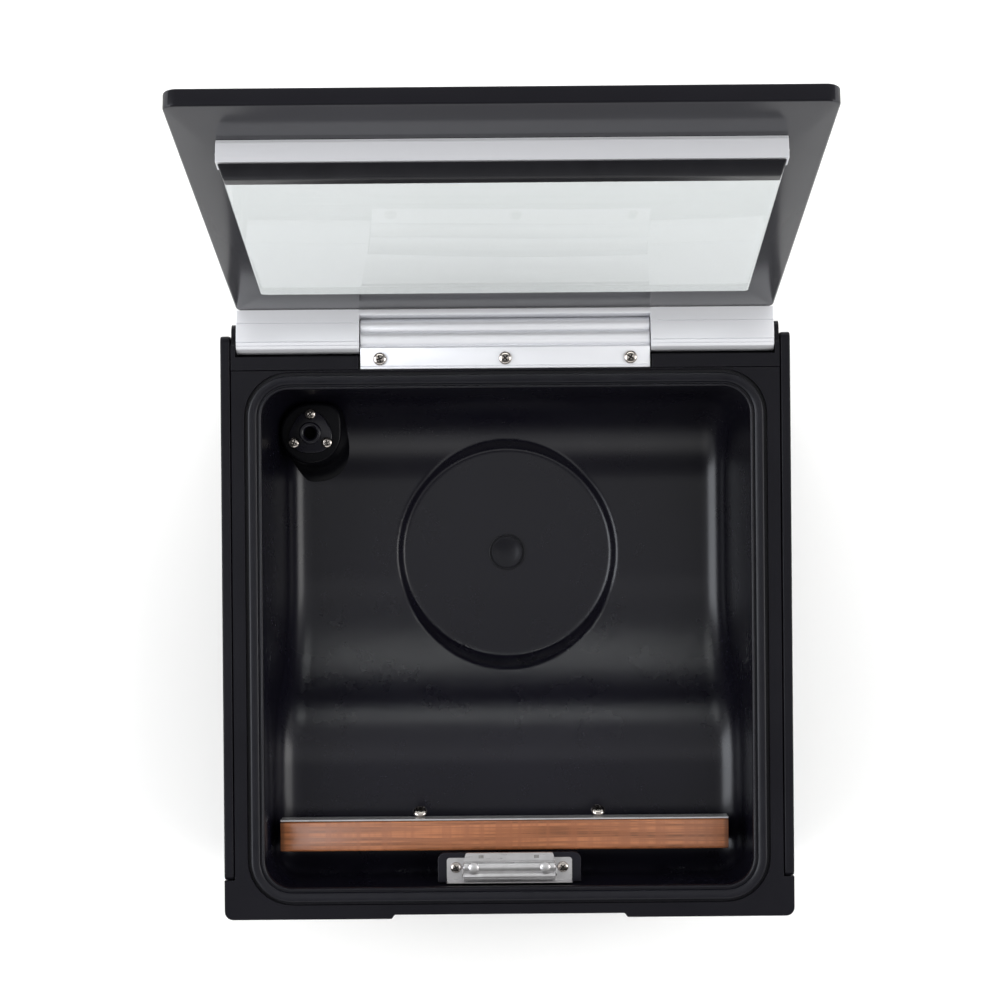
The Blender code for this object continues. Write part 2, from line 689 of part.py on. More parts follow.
def lift_cylinders():
    top = DECK_Z - SHELF_DEPTH - WALL_T - GAP
    bottom = DECK_Z - 0.112
    for name, x in (("lift_cylinder_left", -POST_X), ("lift_cylinder_right", POST_X)):
        mesh = cylinder_mesh((x, BAR_Y, (top + bottom) / 2), top - bottom, 0.011, sides=24)
        body = place(name, mesh, "aluminium")
        bore = cylinder_mesh((x, BAR_Y, top), 2 * (top - bottom) - 0.008, 0.0043, sides=20)
        boolean(body, cutter(f"bore_{name}", bore))


# ---------------------------------------------------------------- bag clip
def bag_clip():
    ledge_low = CLIP_TOP - 0.0055
    half, front, bend, r = 0.0457, -0.2150, -0.2010, 0.0048
    outline = ([(half, front), (half, bend)] + arc(half - r, bend, r, 0, 90, 5)
               + arc(r - half, bend, r, 90, 180, 5) + [(-half, front)])
    mesh = flat_mesh([outline], ledge_low, CLIP_TOP - GAP)
    place("clip_ledge", mesh, "chamber_black")

    y0, y1, t = -0.2148, -0.1994, 0.0011
    foot = rounded_rect(-0.040, 0.040, y0, y1, 0.0015, 2)
    base = place("clip_base", flat_mesh([foot], CLIP_TOP, CLIP_TOP + t), "stainless")
    fence = cutter("clip_fence", box_mesh((-0.040, y0, CLIP_TOP + 0.0002),
                                          (0.040, y0 + t, CLIP_TOP + 0.0085)))
    boolean(base, fence, "UNION")
    ear = [(-0.2120, CLIP_TOP + 0.0004), (-0.2040, CLIP_TOP + 0.0004),
           (-0.2055, CLIP_PIN_Z + 0.0022), (-0.2095, CLIP_PIN_Z + 0.0022)]
    for side in (-1, 1):
        x0, x1 = sorted((side * (JAW_W / 2 + 0.0004), side * (JAW_W / 2 + 0.0012)))
        boolean(base, cutter(f"clip_ear_{side + 1}", flat_mesh([ear], x0, x1, "yz")), "UNION")
    bore = cylinder_mesh((0, CLIP_PIN_Y, CLIP_PIN_Z), 0.08, 0.0013, axis="x", sides=12)
    boolean(base, cutter("clip_pin_hole", bore))
    pin = cylinder_mesh((0, CLIP_PIN_Y, CLIP_PIN_Z), JAW_W + 0.0026, 0.0010, axis="x", sides=10)
    place("clip_pin", pin, "stainless")
    spots = [(x, -0.2054, CLIP_TOP + t + GAP) for x in (-CLIP_SCREW_X, CLIP_SCREW_X)]
    screws("clip_screw", spots, 0.0033, 0.0018)
    return clip_jaw()


def clip_jaw():
    """Bent sheet: a flat lip that presses the bag, then two rolls over the pin."""
    z = CLIP_TOP + 0.0011
    middle = (
        [(-0.1957, z + 0.0012), (-0.2008, z + 0.0009), (-0.2019, z + 0.0014)]
        + arc(CLIP_PIN_Y + 0.0019, CLIP_PIN_Z - 0.0003, 0.0040, 10, 158, 8)
        + arc(CLIP_PIN_Y - 0.0034, CLIP_PIN_Z - 0.0006, 0.0018, 110, 200, 4)
    )
    t = 0.0004
    upper, lower = [], []
    for i, (y, h) in enumerate(middle):
        a, b = middle[max(i - 1, 0)], middle[min(i + 1, len(middle) - 1)]
        dy, dz = unit(a, b)
        upper.append((y + dz * t, h - dy * t))
        lower.append((y - dz * t, h + dy * t))
    mesh = flat_mesh([upper + lower[::-1]], -JAW_W / 2, JAW_W / 2, "yz")
    place("clip_jaw", mesh, "stainless")


# ---------------------------------------------------------------- lid, modelled closed
def lid_pieces():
    """The lid's own frame has its origin on the hinge axis; the pivot swings it open."""
    pivot = bpy.data.objects.new("lid_pivot", None)
    PARTS.objects.link(pivot)
    pivot.location = (0, HINGE_Y, HINGE_Z)
    pivot.rotation_euler = (-LID_OPEN, 0, 0)
    w, front = LID_W / 2, -LID_REAR - LID_L
    ring = rounded_rect(-w, w, front, -LID_REAR, 0.0065, 5)
    window = rounded_rect(-WINDOW_W / 2, WINDOW_W / 2, -WINDOW_FAR, -WINDOW_NEAR, 0.003, 3)
    frame = place("lid_frame", flat_mesh([ring, window], LID_FACE, LID_FACE + LID_T),
                  "satin_black", pivot)
    lip = 0.0022
    pocket = rounded_rect(-w + lip, w - lip, front + lip, -LID_REAR - lip, 0.0045, 4)
    sheet = flat_mesh([pocket], LID_FACE - 0.002, LID_FACE + GLASS_T + GAP)
    boolean(frame, cutter("glass_pocket", sheet, pivot))
    bevel(frame, 0.0010, 1)
    lip += GAP
    pane = rounded_rect(-w + lip, w - lip, front + lip, -LID_REAR - lip, 0.0042, 4)
    place("lid_glass", flat_mesh([pane], LID_FACE, LID_FACE + GLASS_T), "glass", pivot)
    lid_hinge_profile(pivot)
    lid_bar(pivot)


def lid_hinge_profile(pivot):
    top, strip_low = LID_FACE - GAP, 0.0095
    w = LID_W / 2
    knuckle = (
        [(-0.0100, top), (-0.0100, -0.0098), (-0.0080, -0.0118), (-0.0045, -0.0133),
         (0.0012, -0.0133)]
        + arc(0, 0, BARREL_R, -60, 0, 4) + [(BARREL_R, top)]
    )
    strip = [(-0.0100, top), (-0.0100, strip_low), (BARREL_R, strip_low), (BARREL_R, top)]
    inner = BRACKET_W / 2 + 0.0007
    profile = place("lid_hinge_profile", flat_mesh([knuckle], -w, w, "yz"), "aluminium", pivot)
    gap = cutter("bracket_gap", box_mesh((-inner, -0.03, -0.03), (inner, 0.03, strip_low)), pivot)
    boolean(profile, gap)
    boolean(profile, pin_hole("profile_pin_hole", 0, 0, pivot))


def lid_bar(pivot):
    y, h, top = -(HINGE_Y - BAR_Y), LID_BAR_W / 2, LID_FACE - GAP
    low, wall = LID_FACE - LID_BAR_H, 0.0013
    channel = [(y - h, low), (y - h + wall, low), (y - h + wall, top - 0.003),
               (y + h - wall, top - 0.003), (y + h - wall, low), (y + h, low), (y + h, top),
               (y - h, top)]
    half = LID_BAR_L / 2
    place("lid_bar_holder", flat_mesh([channel], -half, half, "yz"), "aluminium", pivot)
    root, face = h - wall - GAP, 0.0050
    strip = [(y - root, top - 0.0033), (y - root, low - GAP), (y - face, low - GAP),
             (y - face, low - SILICONE_H), (y + face, low - SILICONE_H), (y + face, low - GAP),
             (y + root, low - GAP), (y + root, top - 0.0033)]
    place("lid_silicone_bar", flat_mesh([strip], -half + 0.001, half - 0.001, "yz"), "silicone",
          pivot)


# ---------------------------------------------------------------- machinery under the chamber
def pump():
    floor = FOOT_H + 0.0015 + GAP
    motor_mesh = cylinder_mesh((0.030, PUMP_Y, PUMP_Z), 0.100, 0.0330, axis="x", sides=28)
    motor = place("pump_motor", motor_mesh, "iron")
    plate = box_mesh((-0.085, PUMP_Y - 0.036, floor), (0.080, PUMP_Y + 0.036, floor + 0.003))
    boolean(motor, cutter("pump_plate", plate), "UNION")
    saddle = box_mesh((-0.010, PUMP_Y - 0.024, floor + 0.001), (0.070, PUMP_Y + 0.024, 0.040))
    boolean(motor, cutter("pump_saddle", saddle), "UNION")
    head = box_mesh((-0.078, PUMP_Y - 0.030, floor + 0.0033), (-0.0205, PUMP_Y + 0.030, 0.098))
    bevel(place("pump_head", head, "aluminium"), 0.003, 1)

    def blades(work):
        x = 0.0865
        add_cylinder(work, (x, PUMP_Y, PUMP_Z), 0.010, 0.007, axis="x", sides=16)
        for i in range(7):
            turn = Matrix.Rotation(math.tau * i / 7, 4, "X")
            lean = Matrix.Rotation(math.radians(30), 4, "Z")
            matrix = (Matrix.Translation((x, PUMP_Y, PUMP_Z)) @ turn
                      @ Matrix.Translation((0, 0, 0.0165)) @ lean
                      @ Matrix.Diagonal((0.0012, 0.0090, 0.021, 1.0)))
            bmesh.ops.create_cube(work, size=1.0, matrix=matrix)
    rotor = place("pump_fan", mesh_of(blades), "satin_black")
    join_bodies(rotor)


def join_bodies(obj):
    """One body from the overlapping ones of a mesh."""
    seed = cutter(f"seed_{obj.name}", box_mesh((0, 0, 0), (0.001, 0.001, 0.001)))
    modifier = obj.modifiers.new("weld_bodies", "BOOLEAN")
    modifier.operation = "DIFFERENCE"
    modifier.use_self = True
    modifier.object = seed


def cooling_fan():
    """Square fan behind the rear grille, with its rotor on a central post."""
    y1 = BACK_Y - SHEET_T - GAP
    y0 = y1 - 0.015
    outer = rounded_rect(FAN_X - 0.030, FAN_X + 0.030, FAN_Z - 0.030, FAN_Z + 0.030, 0.004, 2)
    throat = arc(FAN_X, FAN_Z, FAN_R, 0, 345, 23)
    frame = place("fan_frame", flat_mesh([outer, throat], y0, y1, "xz"), "satin_black")
    spider = cutter("fan_spider", box_mesh((FAN_X - 0.029, y0 + 0.0002, FAN_Z - 0.003),
                                           (FAN_X + 0.029, y0 + 0.0016, FAN_Z + 0.003)))
    boolean(frame, spider, "UNION")

    def blades(work):
        y = y0 + 0.0078
        add_cylinder(work, (FAN_X, y, FAN_Z), 0.010, 0.0095, axis="y", sides=18)
        for i in range(7):
            turn = Matrix.Rotation(math.tau * i / 7, 4, "Y")
            lean = Matrix.Rotation(math.radians(35), 4, "Z")
            matrix = (Matrix.Translation((FAN_X, y, FAN_Z)) @ turn
                      @ Matrix.Translation((0, 0, 0.0172)) @ lean
                      @ Matrix.Diagonal((0.0012, 0.0095, 0.0165, 1.0)))
            bmesh.ops.create_cube(work, size=1.0, matrix=matrix)
    rotor = place("fan_rotor", mesh_of(blades), "satin_black")
    join_bodies(rotor)


def power_entry():
    y1 = BACK_Y + 0.0024
    inlet = place("power_inlet", box_mesh((-0.1440, BACK_Y - 0.016, 0.0440),
                                          (-0.0840, y1, 0.0660)), "satin_black")
    bevel(inlet, 0.0015, 1)
    socket = box_mesh((-0.1410, BACK_Y - 0.012, 0.0470), (-0.1190, BACK_Y + 0.02, 0.0630))
    boolean(inlet, cutter("inlet_socket", socket))
    for i, (x, z) in enumerate(((-0.130, 0.0585), (-0.136, 0.0515), (-0.124, 0.0515))):
        blade = box_mesh((x - 0.0020, BACK_Y - 0.014, z - 0.001),
                         (x + 0.0020, BACK_Y - 0.0030, z + 0.001))
        boolean(inlet, cutter(f"inlet_blade_{i}", blade), "UNION")
    well = box_mesh((-0.1022, BACK_Y - 0.013, 0.0468), (-0.0868, BACK_Y + 0.02, 0.0632))
    boolean(inlet, cutter("switch_well", well))
    z, y = 0.055, BACK_Y - 0.0035
    top = BACK_Y + 0.0030
    rocker = [(y - 0.0045, z - 0.0035), (top - 0.0032, z - 0.0064), (top, z - 0.0066),
              (top - 0.0015, z), (top - 0.0032, z + 0.0064), (y - 0.0045, z + 0.0035)]
    place("power_switch", flat_mesh([rocker], -0.1017, -0.0873, "yz"), "satin_black")


def transformer():
    floor = FOOT_H + 0.0015 + GAP
    core = place("transformer", box_mesh((-0.146, -0.150, floor), (-0.084, -0.098, 0.068)), "iron")
    coil = box_mesh((-0.137, -0.157, 0.027), (-0.093, -0.091, 0.056))
    boolean(core, cutter("transformer_coil", coil), "UNION")


def valves():
    floor = FOOT_H + 0.0015 + GAP
    block = box_mesh((-0.160, -0.010, floor), (-0.104, 0.026, floor + 0.024))
    valve = place("valve_block", block, "aluminium")
    for i, x in enumerate((-0.147, -0.117)):
        coil = cylinder_mesh((x, 0.008, floor + 0.0385), 0.031, 0.0115, sides=20)
        boolean(valve, cutter(f"valve_coil_{i}", coil), "UNION")
    end = DECK_Z - BOSS_DEPTH - 0.0043
    port_hose = [(PORT_X, PORT_Y, end), (PORT_X, PORT_Y, end - 0.030),
                 (PORT_X - 0.006, PORT_Y + 0.004, 0.080), (PORT_X - 0.008, 0.068, 0.045),
                 (PORT_X - 0.004, 0.050, 0.0290), (PORT_X - 0.002, 0.037, 0.0265),
                 (PORT_X - 0.002, 0.0270, 0.0265)]
    tube("port_hose", port_hose, 0.0045, "hose")
    pump_hose = [(-0.1032, 0.014, 0.0270), (-0.0965, 0.0145, 0.0275), (-0.0900, 0.024, 0.040),
                 (-0.0900, 0.040, 0.062), (-0.0850, 0.050, 0.070), (-0.0788, 0.050, 0.070)]
    tube("pump_hose", pump_hose, 0.0040, "hose")


# ---------------------------------------------------------------- build
clear_scene()
PARTS = new_collection("chamber_vacuum_sealer")
CUTTERS = new_collection("cutters")

base_pan()
feet()
side_panels()
front_fascia()
rear_panel()
rear_rail()
top_deck()
chamber_tub()
chamber_gasket()
well_plug()
vacuum_port()
hinge_bracket()
hinge_pin()
control_panel()
seal_bar()
lift_cylinders()
bag_clip()
lid_pieces()
pump()
cooling_fan()
power_entry()
transformer()
valves()
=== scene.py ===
import json
import math

import bmesh
import bpy
import numpy as np
from mathutils import Matrix, Vector


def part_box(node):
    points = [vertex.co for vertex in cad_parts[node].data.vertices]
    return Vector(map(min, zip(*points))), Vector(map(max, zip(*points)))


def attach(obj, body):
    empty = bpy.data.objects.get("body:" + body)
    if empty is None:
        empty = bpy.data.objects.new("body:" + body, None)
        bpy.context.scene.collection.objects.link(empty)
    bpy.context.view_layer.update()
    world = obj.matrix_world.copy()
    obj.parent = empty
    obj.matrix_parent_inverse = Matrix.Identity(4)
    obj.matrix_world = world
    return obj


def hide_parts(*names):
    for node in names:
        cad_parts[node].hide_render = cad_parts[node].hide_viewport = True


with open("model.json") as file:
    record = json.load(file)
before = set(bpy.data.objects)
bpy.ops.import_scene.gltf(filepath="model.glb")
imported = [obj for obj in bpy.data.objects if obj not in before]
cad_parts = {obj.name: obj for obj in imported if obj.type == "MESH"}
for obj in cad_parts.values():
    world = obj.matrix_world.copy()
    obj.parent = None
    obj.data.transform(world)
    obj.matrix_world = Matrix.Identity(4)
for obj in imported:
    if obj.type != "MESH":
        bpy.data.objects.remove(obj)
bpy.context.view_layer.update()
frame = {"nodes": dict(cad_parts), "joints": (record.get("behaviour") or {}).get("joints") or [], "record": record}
NODES = frame["nodes"]


# -------- places read from the frame
def box(node):
    low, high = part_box(node)
    return Vector(low), Vector(high)


DECK_Z = box("top_deck")[1].z
LID_JOINT = next(j for j in frame["joints"] if j["name"] == "lid_hinge")
PIVOT = Vector(LID_JOINT["pos_m"])
TO_CLOSED = Matrix.Translation(PIVOT) @ Matrix.Rotation(
    math.radians(LID_JOINT["range_deg"][1]), 4, "X") @ Matrix.Translation(-PIVOT)
TO_REST = TO_CLOSED.inverted()


def span(points):
    """Lowest and highest corner of the box round some points."""
    low = Vector([min(p[i] for p in points) for i in range(3)])
    return low, Vector([max(p[i] for p in points) for i in range(3)])


def closed_box(node):
    """A lid node's box with the lid closed, measured from the hinge axis."""
    return span([TO_CLOSED @ v.co - PIVOT for v in NODES[node].data.vertices])


# -------- materials
class Nodes:
    """One material's node tree, with short calls for what the finishes share."""

    def __init__(self, name, colour, roughness, metallic=0.0, **sockets):
        self.material = bpy.data.materials.new(name)
        self.material.use_nodes = True
        self.tree = self.material.node_tree
        self.shader = self.tree.nodes["Principled BSDF"]
        self.set("Base Color", (*colour, 1.0))
        self.set("Roughness", roughness)
        self.set("Metallic", metallic)
        for socket, value in sockets.items():
            self.set(socket.replace("_", " "), value)
        self.coords = self.add("ShaderNodeTexCoord").outputs["Object"]
        self.height = None

    def set(self, socket, value):
        self.shader.inputs[socket].default_value = value

    def add(self, kind, **values):
        node = self.tree.nodes.new(kind)
        for key, value in values.items():
            setattr(node, key, value)
        return node

    def link(self, source, target):
        self.tree.links.new(source, target)

    def noise(self, scale, stretch=(1, 1, 1), detail=2.0, rough=0.5):
        """Noise whose grains are 1 / scale metres, stretched along each axis."""
        mapping = self.add("ShaderNodeMapping")
        self.link(self.coords, mapping.inputs["Vector"])
        mapping.inputs["Scale"].default_value = [1 / s for s in stretch]
        noise = self.add("ShaderNodeTexNoise")
        self.link(mapping.outputs[0], noise.inputs["Vector"])
        noise.inputs["Scale"].default_value = scale
        noise.inputs["Detail"].default_value = detail
        noise.inputs["Roughness"].default_value = rough
        return noise.outputs["Fac"]

    def ramp(self, fac, low, high, start=0.3, end=0.7):
        node = self.add("ShaderNodeMapRange")
        self.link(fac, node.inputs["Value"])
        values = {"From Min": start, "From Max": end, "To Min": low, "To Max": high}
        for key, value in values.items():
            node.inputs[key].default_value = value
        return node.outputs["Result"]

    def mix(self, fac, low, high):
        node = self.add("ShaderNodeMix", data_type="RGBA")
        self.link(fac, node.inputs[0])
        for index, colour in ((6, low), (7, high)):
            if isinstance(colour, tuple):
                node.inputs[index].default_value = (*colour, 1.0)
            else:
                self.link(colour, node.inputs[index])
        return node.outputs[2]

    def colour(self, source):
        self.link(source, self.shader.inputs["Base Color"])

    def mottle(self, low, high, scale, **noise):
        """Colour that drifts between two tones."""
        self.colour(self.mix(self.ramp(self.noise(scale, **noise), 0.0, 1.0), low, high))

    def roughness(self, source):
        self.link(source, self.shader.inputs["Roughness"])

    def uneven(self, low, high, scale, **noise):
        """Roughness that drifts between two values."""
        self.roughness(self.ramp(self.noise(scale, **noise), low, high))

    def bump(self, height, distance):
        node = self.add("ShaderNodeBump")
        node.inputs["Distance"].default_value = distance
        node.inputs["Strength"].default_value = 1.0
        self.link(height, node.inputs["Height"])
        if self.height:
            self.link(self.height, node.inputs["Normal"])
        self.height = node.outputs["Normal"]
        self.link(self.height, self.shader.inputs["Normal"])


def textured_plastic(name, dark, light, rough_low, rough_high, grain, ior, fineness=1900):
    """Moulded plastic: fine spark-eroded grain, faint cloudiness, soft changes of gloss."""
    n = Nodes(name, dark, rough_low, IOR=ior)
    n.mottle(dark, light, 9, detail=4)
    n.uneven(rough_low, rough_high, 30, detail=4, rough=0.6)
    n.bump(n.noise(fineness, detail=2), grain)
    return n.material


def satin_black():
    return textured_plastic("satin_black", (0.0036, 0.0034, 0.0052), (0.0052, 0.0050, 0.0072),
                            0.31, 0.37, 0.000010, 1.25)


def chamber_black():
    return textured_plastic("chamber_black", (0.0030, 0.0027, 0.0056), (0.0044, 0.0040, 0.0078),
                            0.26, 0.30, 0.000002, 1.42, 700)


# Painted shade: a darker, less glossy copy of the chamber's black for the boss, which is moulded in the same
# plastic, so it stays dark in its corner.
def shaded_boss_black():
    return textured_plastic("shaded_boss_black", (0.0012, 0.0012, 0.0020), (0.0022, 0.0022, 0.0032),
                            0.30, 0.36, 0.000003, 1.20)


def bore_shade_black():
    """Painted shade: near-black standing in for the unlit depth of the port's bore."""
    return textured_plastic("bore_shade_black", (0.0004, 0.0004, 0.0005), (0.0008, 0.0008, 0.0010),
                            0.50, 0.60, 0.000002, 1.10)


def lid_black():
    """Smooth black of the lid's plate, with the faintest haze of handling."""
    n = Nodes("lid_black", (0.040, 0.040, 0.044), 0.16, IOR=1.19)
    n.mottle((0.040, 0.040, 0.044), (0.045, 0.045, 0.050), 6, detail=2)
    n.uneven(0.15, 0.18, 14, detail=3)
    n.bump(n.noise(1500, detail=2), 0.000003)
    return n.material


def painted_steel():
    n = Nodes("black_steel", (0.010, 0.010, 0.012), 0.42)
    n.mottle((0.009, 0.009, 0.011), (0.014, 0.014, 0.016), 20, detail=3)
    n.uneven(0.38, 0.47, 60, detail=4)
    n.bump(n.noise(900, detail=3), 0.00004)
    return n.material


def extruded_aluminium(name="aluminium", colour=(0.72, 0.725, 0.755), low=0.42, high=0.49,
                       metallic=0.45):
    """Satin anodised extrusion: fine draw lines along X and soft cloudy patches."""
    n = Nodes(name, colour, low, metallic)
    lines = n.noise(2600, stretch=(300, 1, 1), detail=2)
    dull = tuple(c * 0.96 for c in colour)
    n.mottle(dull, colour, 16, stretch=(5, 1, 1), detail=3)
    n.roughness(n.ramp(lines, low, high))
    n.bump(lines, 0.0000012)
    n.bump(n.noise(2400, detail=2), 0.000002)
    return n.material


def bright_steel():
    """Stainless sheet with a soft satin finish and light polishing marks."""
    n = Nodes("stainless", (0.55, 0.54, 0.545), 0.30, 0.75)
    n.mottle((0.50, 0.49, 0.495), (0.59, 0.58, 0.585), 120, detail=4)
    n.uneven(0.27, 0.34, 900, stretch=(12, 1, 1), detail=3)
    n.bump(n.noise(3000, stretch=(15, 1, 1), detail=2), 0.0000015)
    return n.material


def dull_steel():
    """Steel dulled by pressing: the two small pads on the clip's lip."""
    n = Nodes("dull_steel", (0.20, 0.195, 0.19), 0.45, 0.5)
    n.mottle((0.16, 0.155, 0.15), (0.24, 0.235, 0.23), 500, detail=3)
    n.uneven(0.38, 0.50, 1200, detail=3)
    return n.material


def rubber(name="rubber", dark=(0.0022, 0.0021, 0.0042), light=(0.0034, 0.0032, 0.0058)):
    n = Nodes(name, dark, 0.38, IOR=1.36)
    n.mottle(dark, light, 30, detail=4, rough=0.6)
    n.uneven(0.34, 0.42, 120, detail=4)
    n.bump(n.noise(2200, detail=3), 0.000008)
    return n.material


def tape_end_shade(n):
    """0 along the bar, rising over the last 3 mm at both ends of the tape: painted shade at the bar's rounded
    ends.
    """
    low, high = box("sealing_tape")
    middle, half = (low.x + high.x) / 2, (high.x - low.x) / 2
    along = n.add("ShaderNodeSeparateXYZ")
    n.link(n.coords, along.inputs[0])
    offset = n.add("ShaderNodeMath", operation="SUBTRACT")
    n.link(along.outputs["X"], offset.inputs[0])
    offset.inputs[1].default_value = middle
    distance = n.add("ShaderNodeMath", operation="ABSOLUTE")
    n.link(offset.outputs[0], distance.inputs[0])
    return n.ramp(distance.outputs[0], 0.0, 0.65, half - 0.0034, half - 0.0016)


def sealing_tape():
    """Woven glass cloth filled with brown resin: fine plain weave, streaks along the bar."""
    n = Nodes("sealing_tape", (0.30, 0.12, 0.05), 0.36, Coat_Weight=0.3, Coat_Roughness=0.2)
    threads = []
    for axis in ("X", "Y"):
        wave = n.add("ShaderNodeTexWave", wave_type="BANDS", bands_direction=axis)
        n.link(n.coords, wave.inputs["Vector"])
        wave.inputs["Scale"].default_value = 430
        wave.inputs["Distortion"].default_value = 1.5
        wave.inputs["Detail"].default_value = 1.0
        threads.append(wave.outputs["Fac"])
    weave = n.add("ShaderNodeMath", operation="MULTIPLY")
    n.link(threads[0], weave.inputs[0])
    n.link(threads[1], weave.inputs[1])
    streaks = n.ramp(n.noise(420, stretch=(60, 1, 1), detail=4, rough=0.7), 0.0, 1.0, 0.40, 0.60)
    cloth = n.mix(streaks, (0.105, 0.034, 0.011), (0.31, 0.108, 0.038))
    bands = n.ramp(n.noise(260, stretch=(1, 30, 30), detail=3), 0.0, 0.7, 0.42, 0.62)
    cloth = n.mix(bands, cloth, (0.185, 0.060, 0.021))
    cloth = n.mix(n.ramp(weave.outputs[0], 0.0, 0.35, 0.1, 0.6), cloth, (0.36, 0.140, 0.060))
    # Both ends of the tape darken: painted shade of the bar's rounded ends.
    n.colour(n.mix(tape_end_shade(n), cloth, (0.060, 0.022, 0.010)))
    n.roughness(n.ramp(streaks, 0.30, 0.44, 0.0, 1.0))
    n.bump(weave.outputs[0], 0.00003)
    return n.material


def nickel():
    """Plated screw heads: bright, a little warm, with turning marks."""
    n = Nodes("nickel", (0.60, 0.56, 0.52), 0.10, 1.0)
    n.mottle((0.46, 0.41, 0.37), (0.62, 0.57, 0.53), 400, detail=4)
    n.uneven(0.06, 0.14, 1500, detail=3)
    n.bump(n.noise(3000, detail=2), 0.000002)
    return n.material


def recess_shade_metal():
    """Painted shade: dark metal inside a driver recess, standing in for the shade that falls there."""
    n = Nodes("recess", (0.03, 0.028, 0.026), 0.4, 0.8)
    n.mottle((0.02, 0.018, 0.016), (0.06, 0.055, 0.05), 700, detail=3)
    n.uneven(0.3, 0.5, 900, detail=3)
    return n.material


def window_glass():
    """Clear acrylic with a trace of grey-green."""
    n = Nodes("glass", (0.59, 0.615, 0.62), 0.0, Transmission_Weight=1.0, IOR=1.05)
    n.mottle((0.585, 0.61, 0.615), (0.595, 0.62, 0.625), 5, detail=3)
    n.uneven(0.0, 0.02, 12, detail=3)
    return n.material


def bar_black():
    return extruded_aluminium("bar_black", (0.018, 0.018, 0.020), 0.32, 0.44)


def gloss_black():
    n = Nodes("gloss_black", (0.006, 0.006, 0.008), 0.07, Coat_Weight=0.6, Coat_Roughness=0.04)
    n.mottle((0.005, 0.005, 0.007), (0.007, 0.007, 0.009), 8, detail=2)
    n.uneven(0.05, 0.10, 40, detail=4, rough=0.6)
    return n.material


def button_grey():
    n = Nodes("button_grey", (0.45, 0.46, 0.48), 0.35)
    n.mottle((0.42, 0.43, 0.45), (0.50, 0.51, 0.53), 300, detail=3)
    n.bump(n.noise(2200, detail=2), 0.00002)
    return n.material


def circuit_board():
    """Green solder mask with the paler raster of tracks under it."""
    n = Nodes("circuit_board", (0.01, 0.12, 0.045), 0.35)
    brick = n.add("ShaderNodeTexBrick")
    n.link(n.coords, brick.inputs["Vector"])
    brick.inputs["Scale"].default_value = 220
    brick.inputs["Color1"].default_value = (0.008, 0.10, 0.035, 1)
    brick.inputs["Color2"].default_value = (0.012, 0.14, 0.05, 1)
    brick.inputs["Mortar"].default_value = (0.02, 0.19, 0.075, 1)
    n.colour(brick.outputs["Color"])
    n.bump(brick.outputs["Fac"], 0.00003)
    return n.material


def cast_iron():
    n = Nodes("iron", (0.10, 0.10, 0.11), 0.55, 0.6)
    n.mottle((0.07, 0.07, 0.08), (0.14, 0.14, 0.15), 70, detail=5)
    n.bump(n.noise(500, detail=4), 0.0001)
    return n.material


def hose():
    n = Nodes("hose", (0.62, 0.64, 0.64), 0.4, Transmission_Weight=0.25, IOR=1.4)
    n.uneven(0.3, 0.5, 150, detail=3)
    n.bump(n.noise(300, stretch=(1, 1, 6), detail=2), 0.00005)
    return n.material


def silicone():
    return rubber("silicone", (0.0060, 0.0058, 0.0076), (0.0085, 0.0083, 0.0105))


FINISHES = {
    "satin_black": satin_black(), "chamber_black": chamber_black(),
    "black_steel": painted_steel(), "aluminium": extruded_aluminium(),
    "stainless": bright_steel(), "rubber": rubber(), "silicone": silicone(),
    "glass": window_glass(), "sealing_tape": sealing_tape(), "bar_black": bar_black(),
    "gloss_black": gloss_black(), "button_grey": button_grey(),
    "circuit_board": circuit_board(), "iron": cast_iron(), "hose": hose(),
    # recess is painted shade for the screws' cross recesses.
    "lid_black": lid_black(), "nickel": nickel(), "recess": recess_shade_metal(),
    "dull_steel": dull_steel(), "bore_shade_black": bore_shade_black(), "shaded_boss_black": shaded_boss_black(),
}


def finish_frame():
    """Every CAD node gets the detailed material of its slot."""
    for entry in frame["record"]["subparts"]:
        mesh = NODES[entry["node"]].data
        mesh.materials.clear()
        mesh.materials.append(FINISHES[entry["material_slot"]])


def soften(node, width):
    """Rounds a CAD node's sharp edges and shades its round faces smoothly."""
    obj = NODES[node]
    weld = obj.modifiers.new("weld", "WELD")
    weld.merge_threshold = 0.00001
    bevel = obj.modifiers.new("edge", "BEVEL")
    bevel.width = width
    bevel.segments = 2
    bevel.limit_method = "ANGLE"
    bevel.angle_limit = math.radians(35)
    bevel.harden_normals = True


# Width of the rounding in metres, and the CAD nodes that get it.
SOFT_EDGES = {
    0.0003: ("display_window",),
    0.0005: ("control_panel", "power_inlet", "button_power", "button_seal", "button_stop",
             "button_vacuum", "hinge_pin"),
    0.0006: ("top_deck", "rear_rail", "power_switch", "fan_frame", "valve_block"),
    0.0008: ("rear_panel", "base_pan", "transformer"),
    0.0010: ("clip_ledge", "foot_front_left", "foot_front_right", "foot_rear_left",
             "foot_rear_right", "pump_head"),
    0.0012: ("side_panel_left", "side_panel_right", "front_fascia"),
}


# -------- mesh helpers
def piece(name, work, body, slot, replaces=(), smooth=35, material=None, extra=(), sheet=False):
    """Turns a bmesh into a finished piece that rides on a body."""
    if not sheet:
        bmesh.ops.recalc_face_normals(work, faces=work.faces)
    mesh = bpy.data.meshes.new(name)
    work.to_mesh(mesh)
    work.free()
    mesh.shade_smooth()
    mesh.set_sharp_from_angle(angle=math.radians(smooth))
    obj = bpy.data.objects.new(name, mesh)
    bpy.context.scene.collection.objects.link(obj)
    for finish in (material or FINISHES[slot], *extra):
        mesh.materials.append(finish)
    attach(obj, body)
    if replaces:
        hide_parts(*replaces)
    return obj


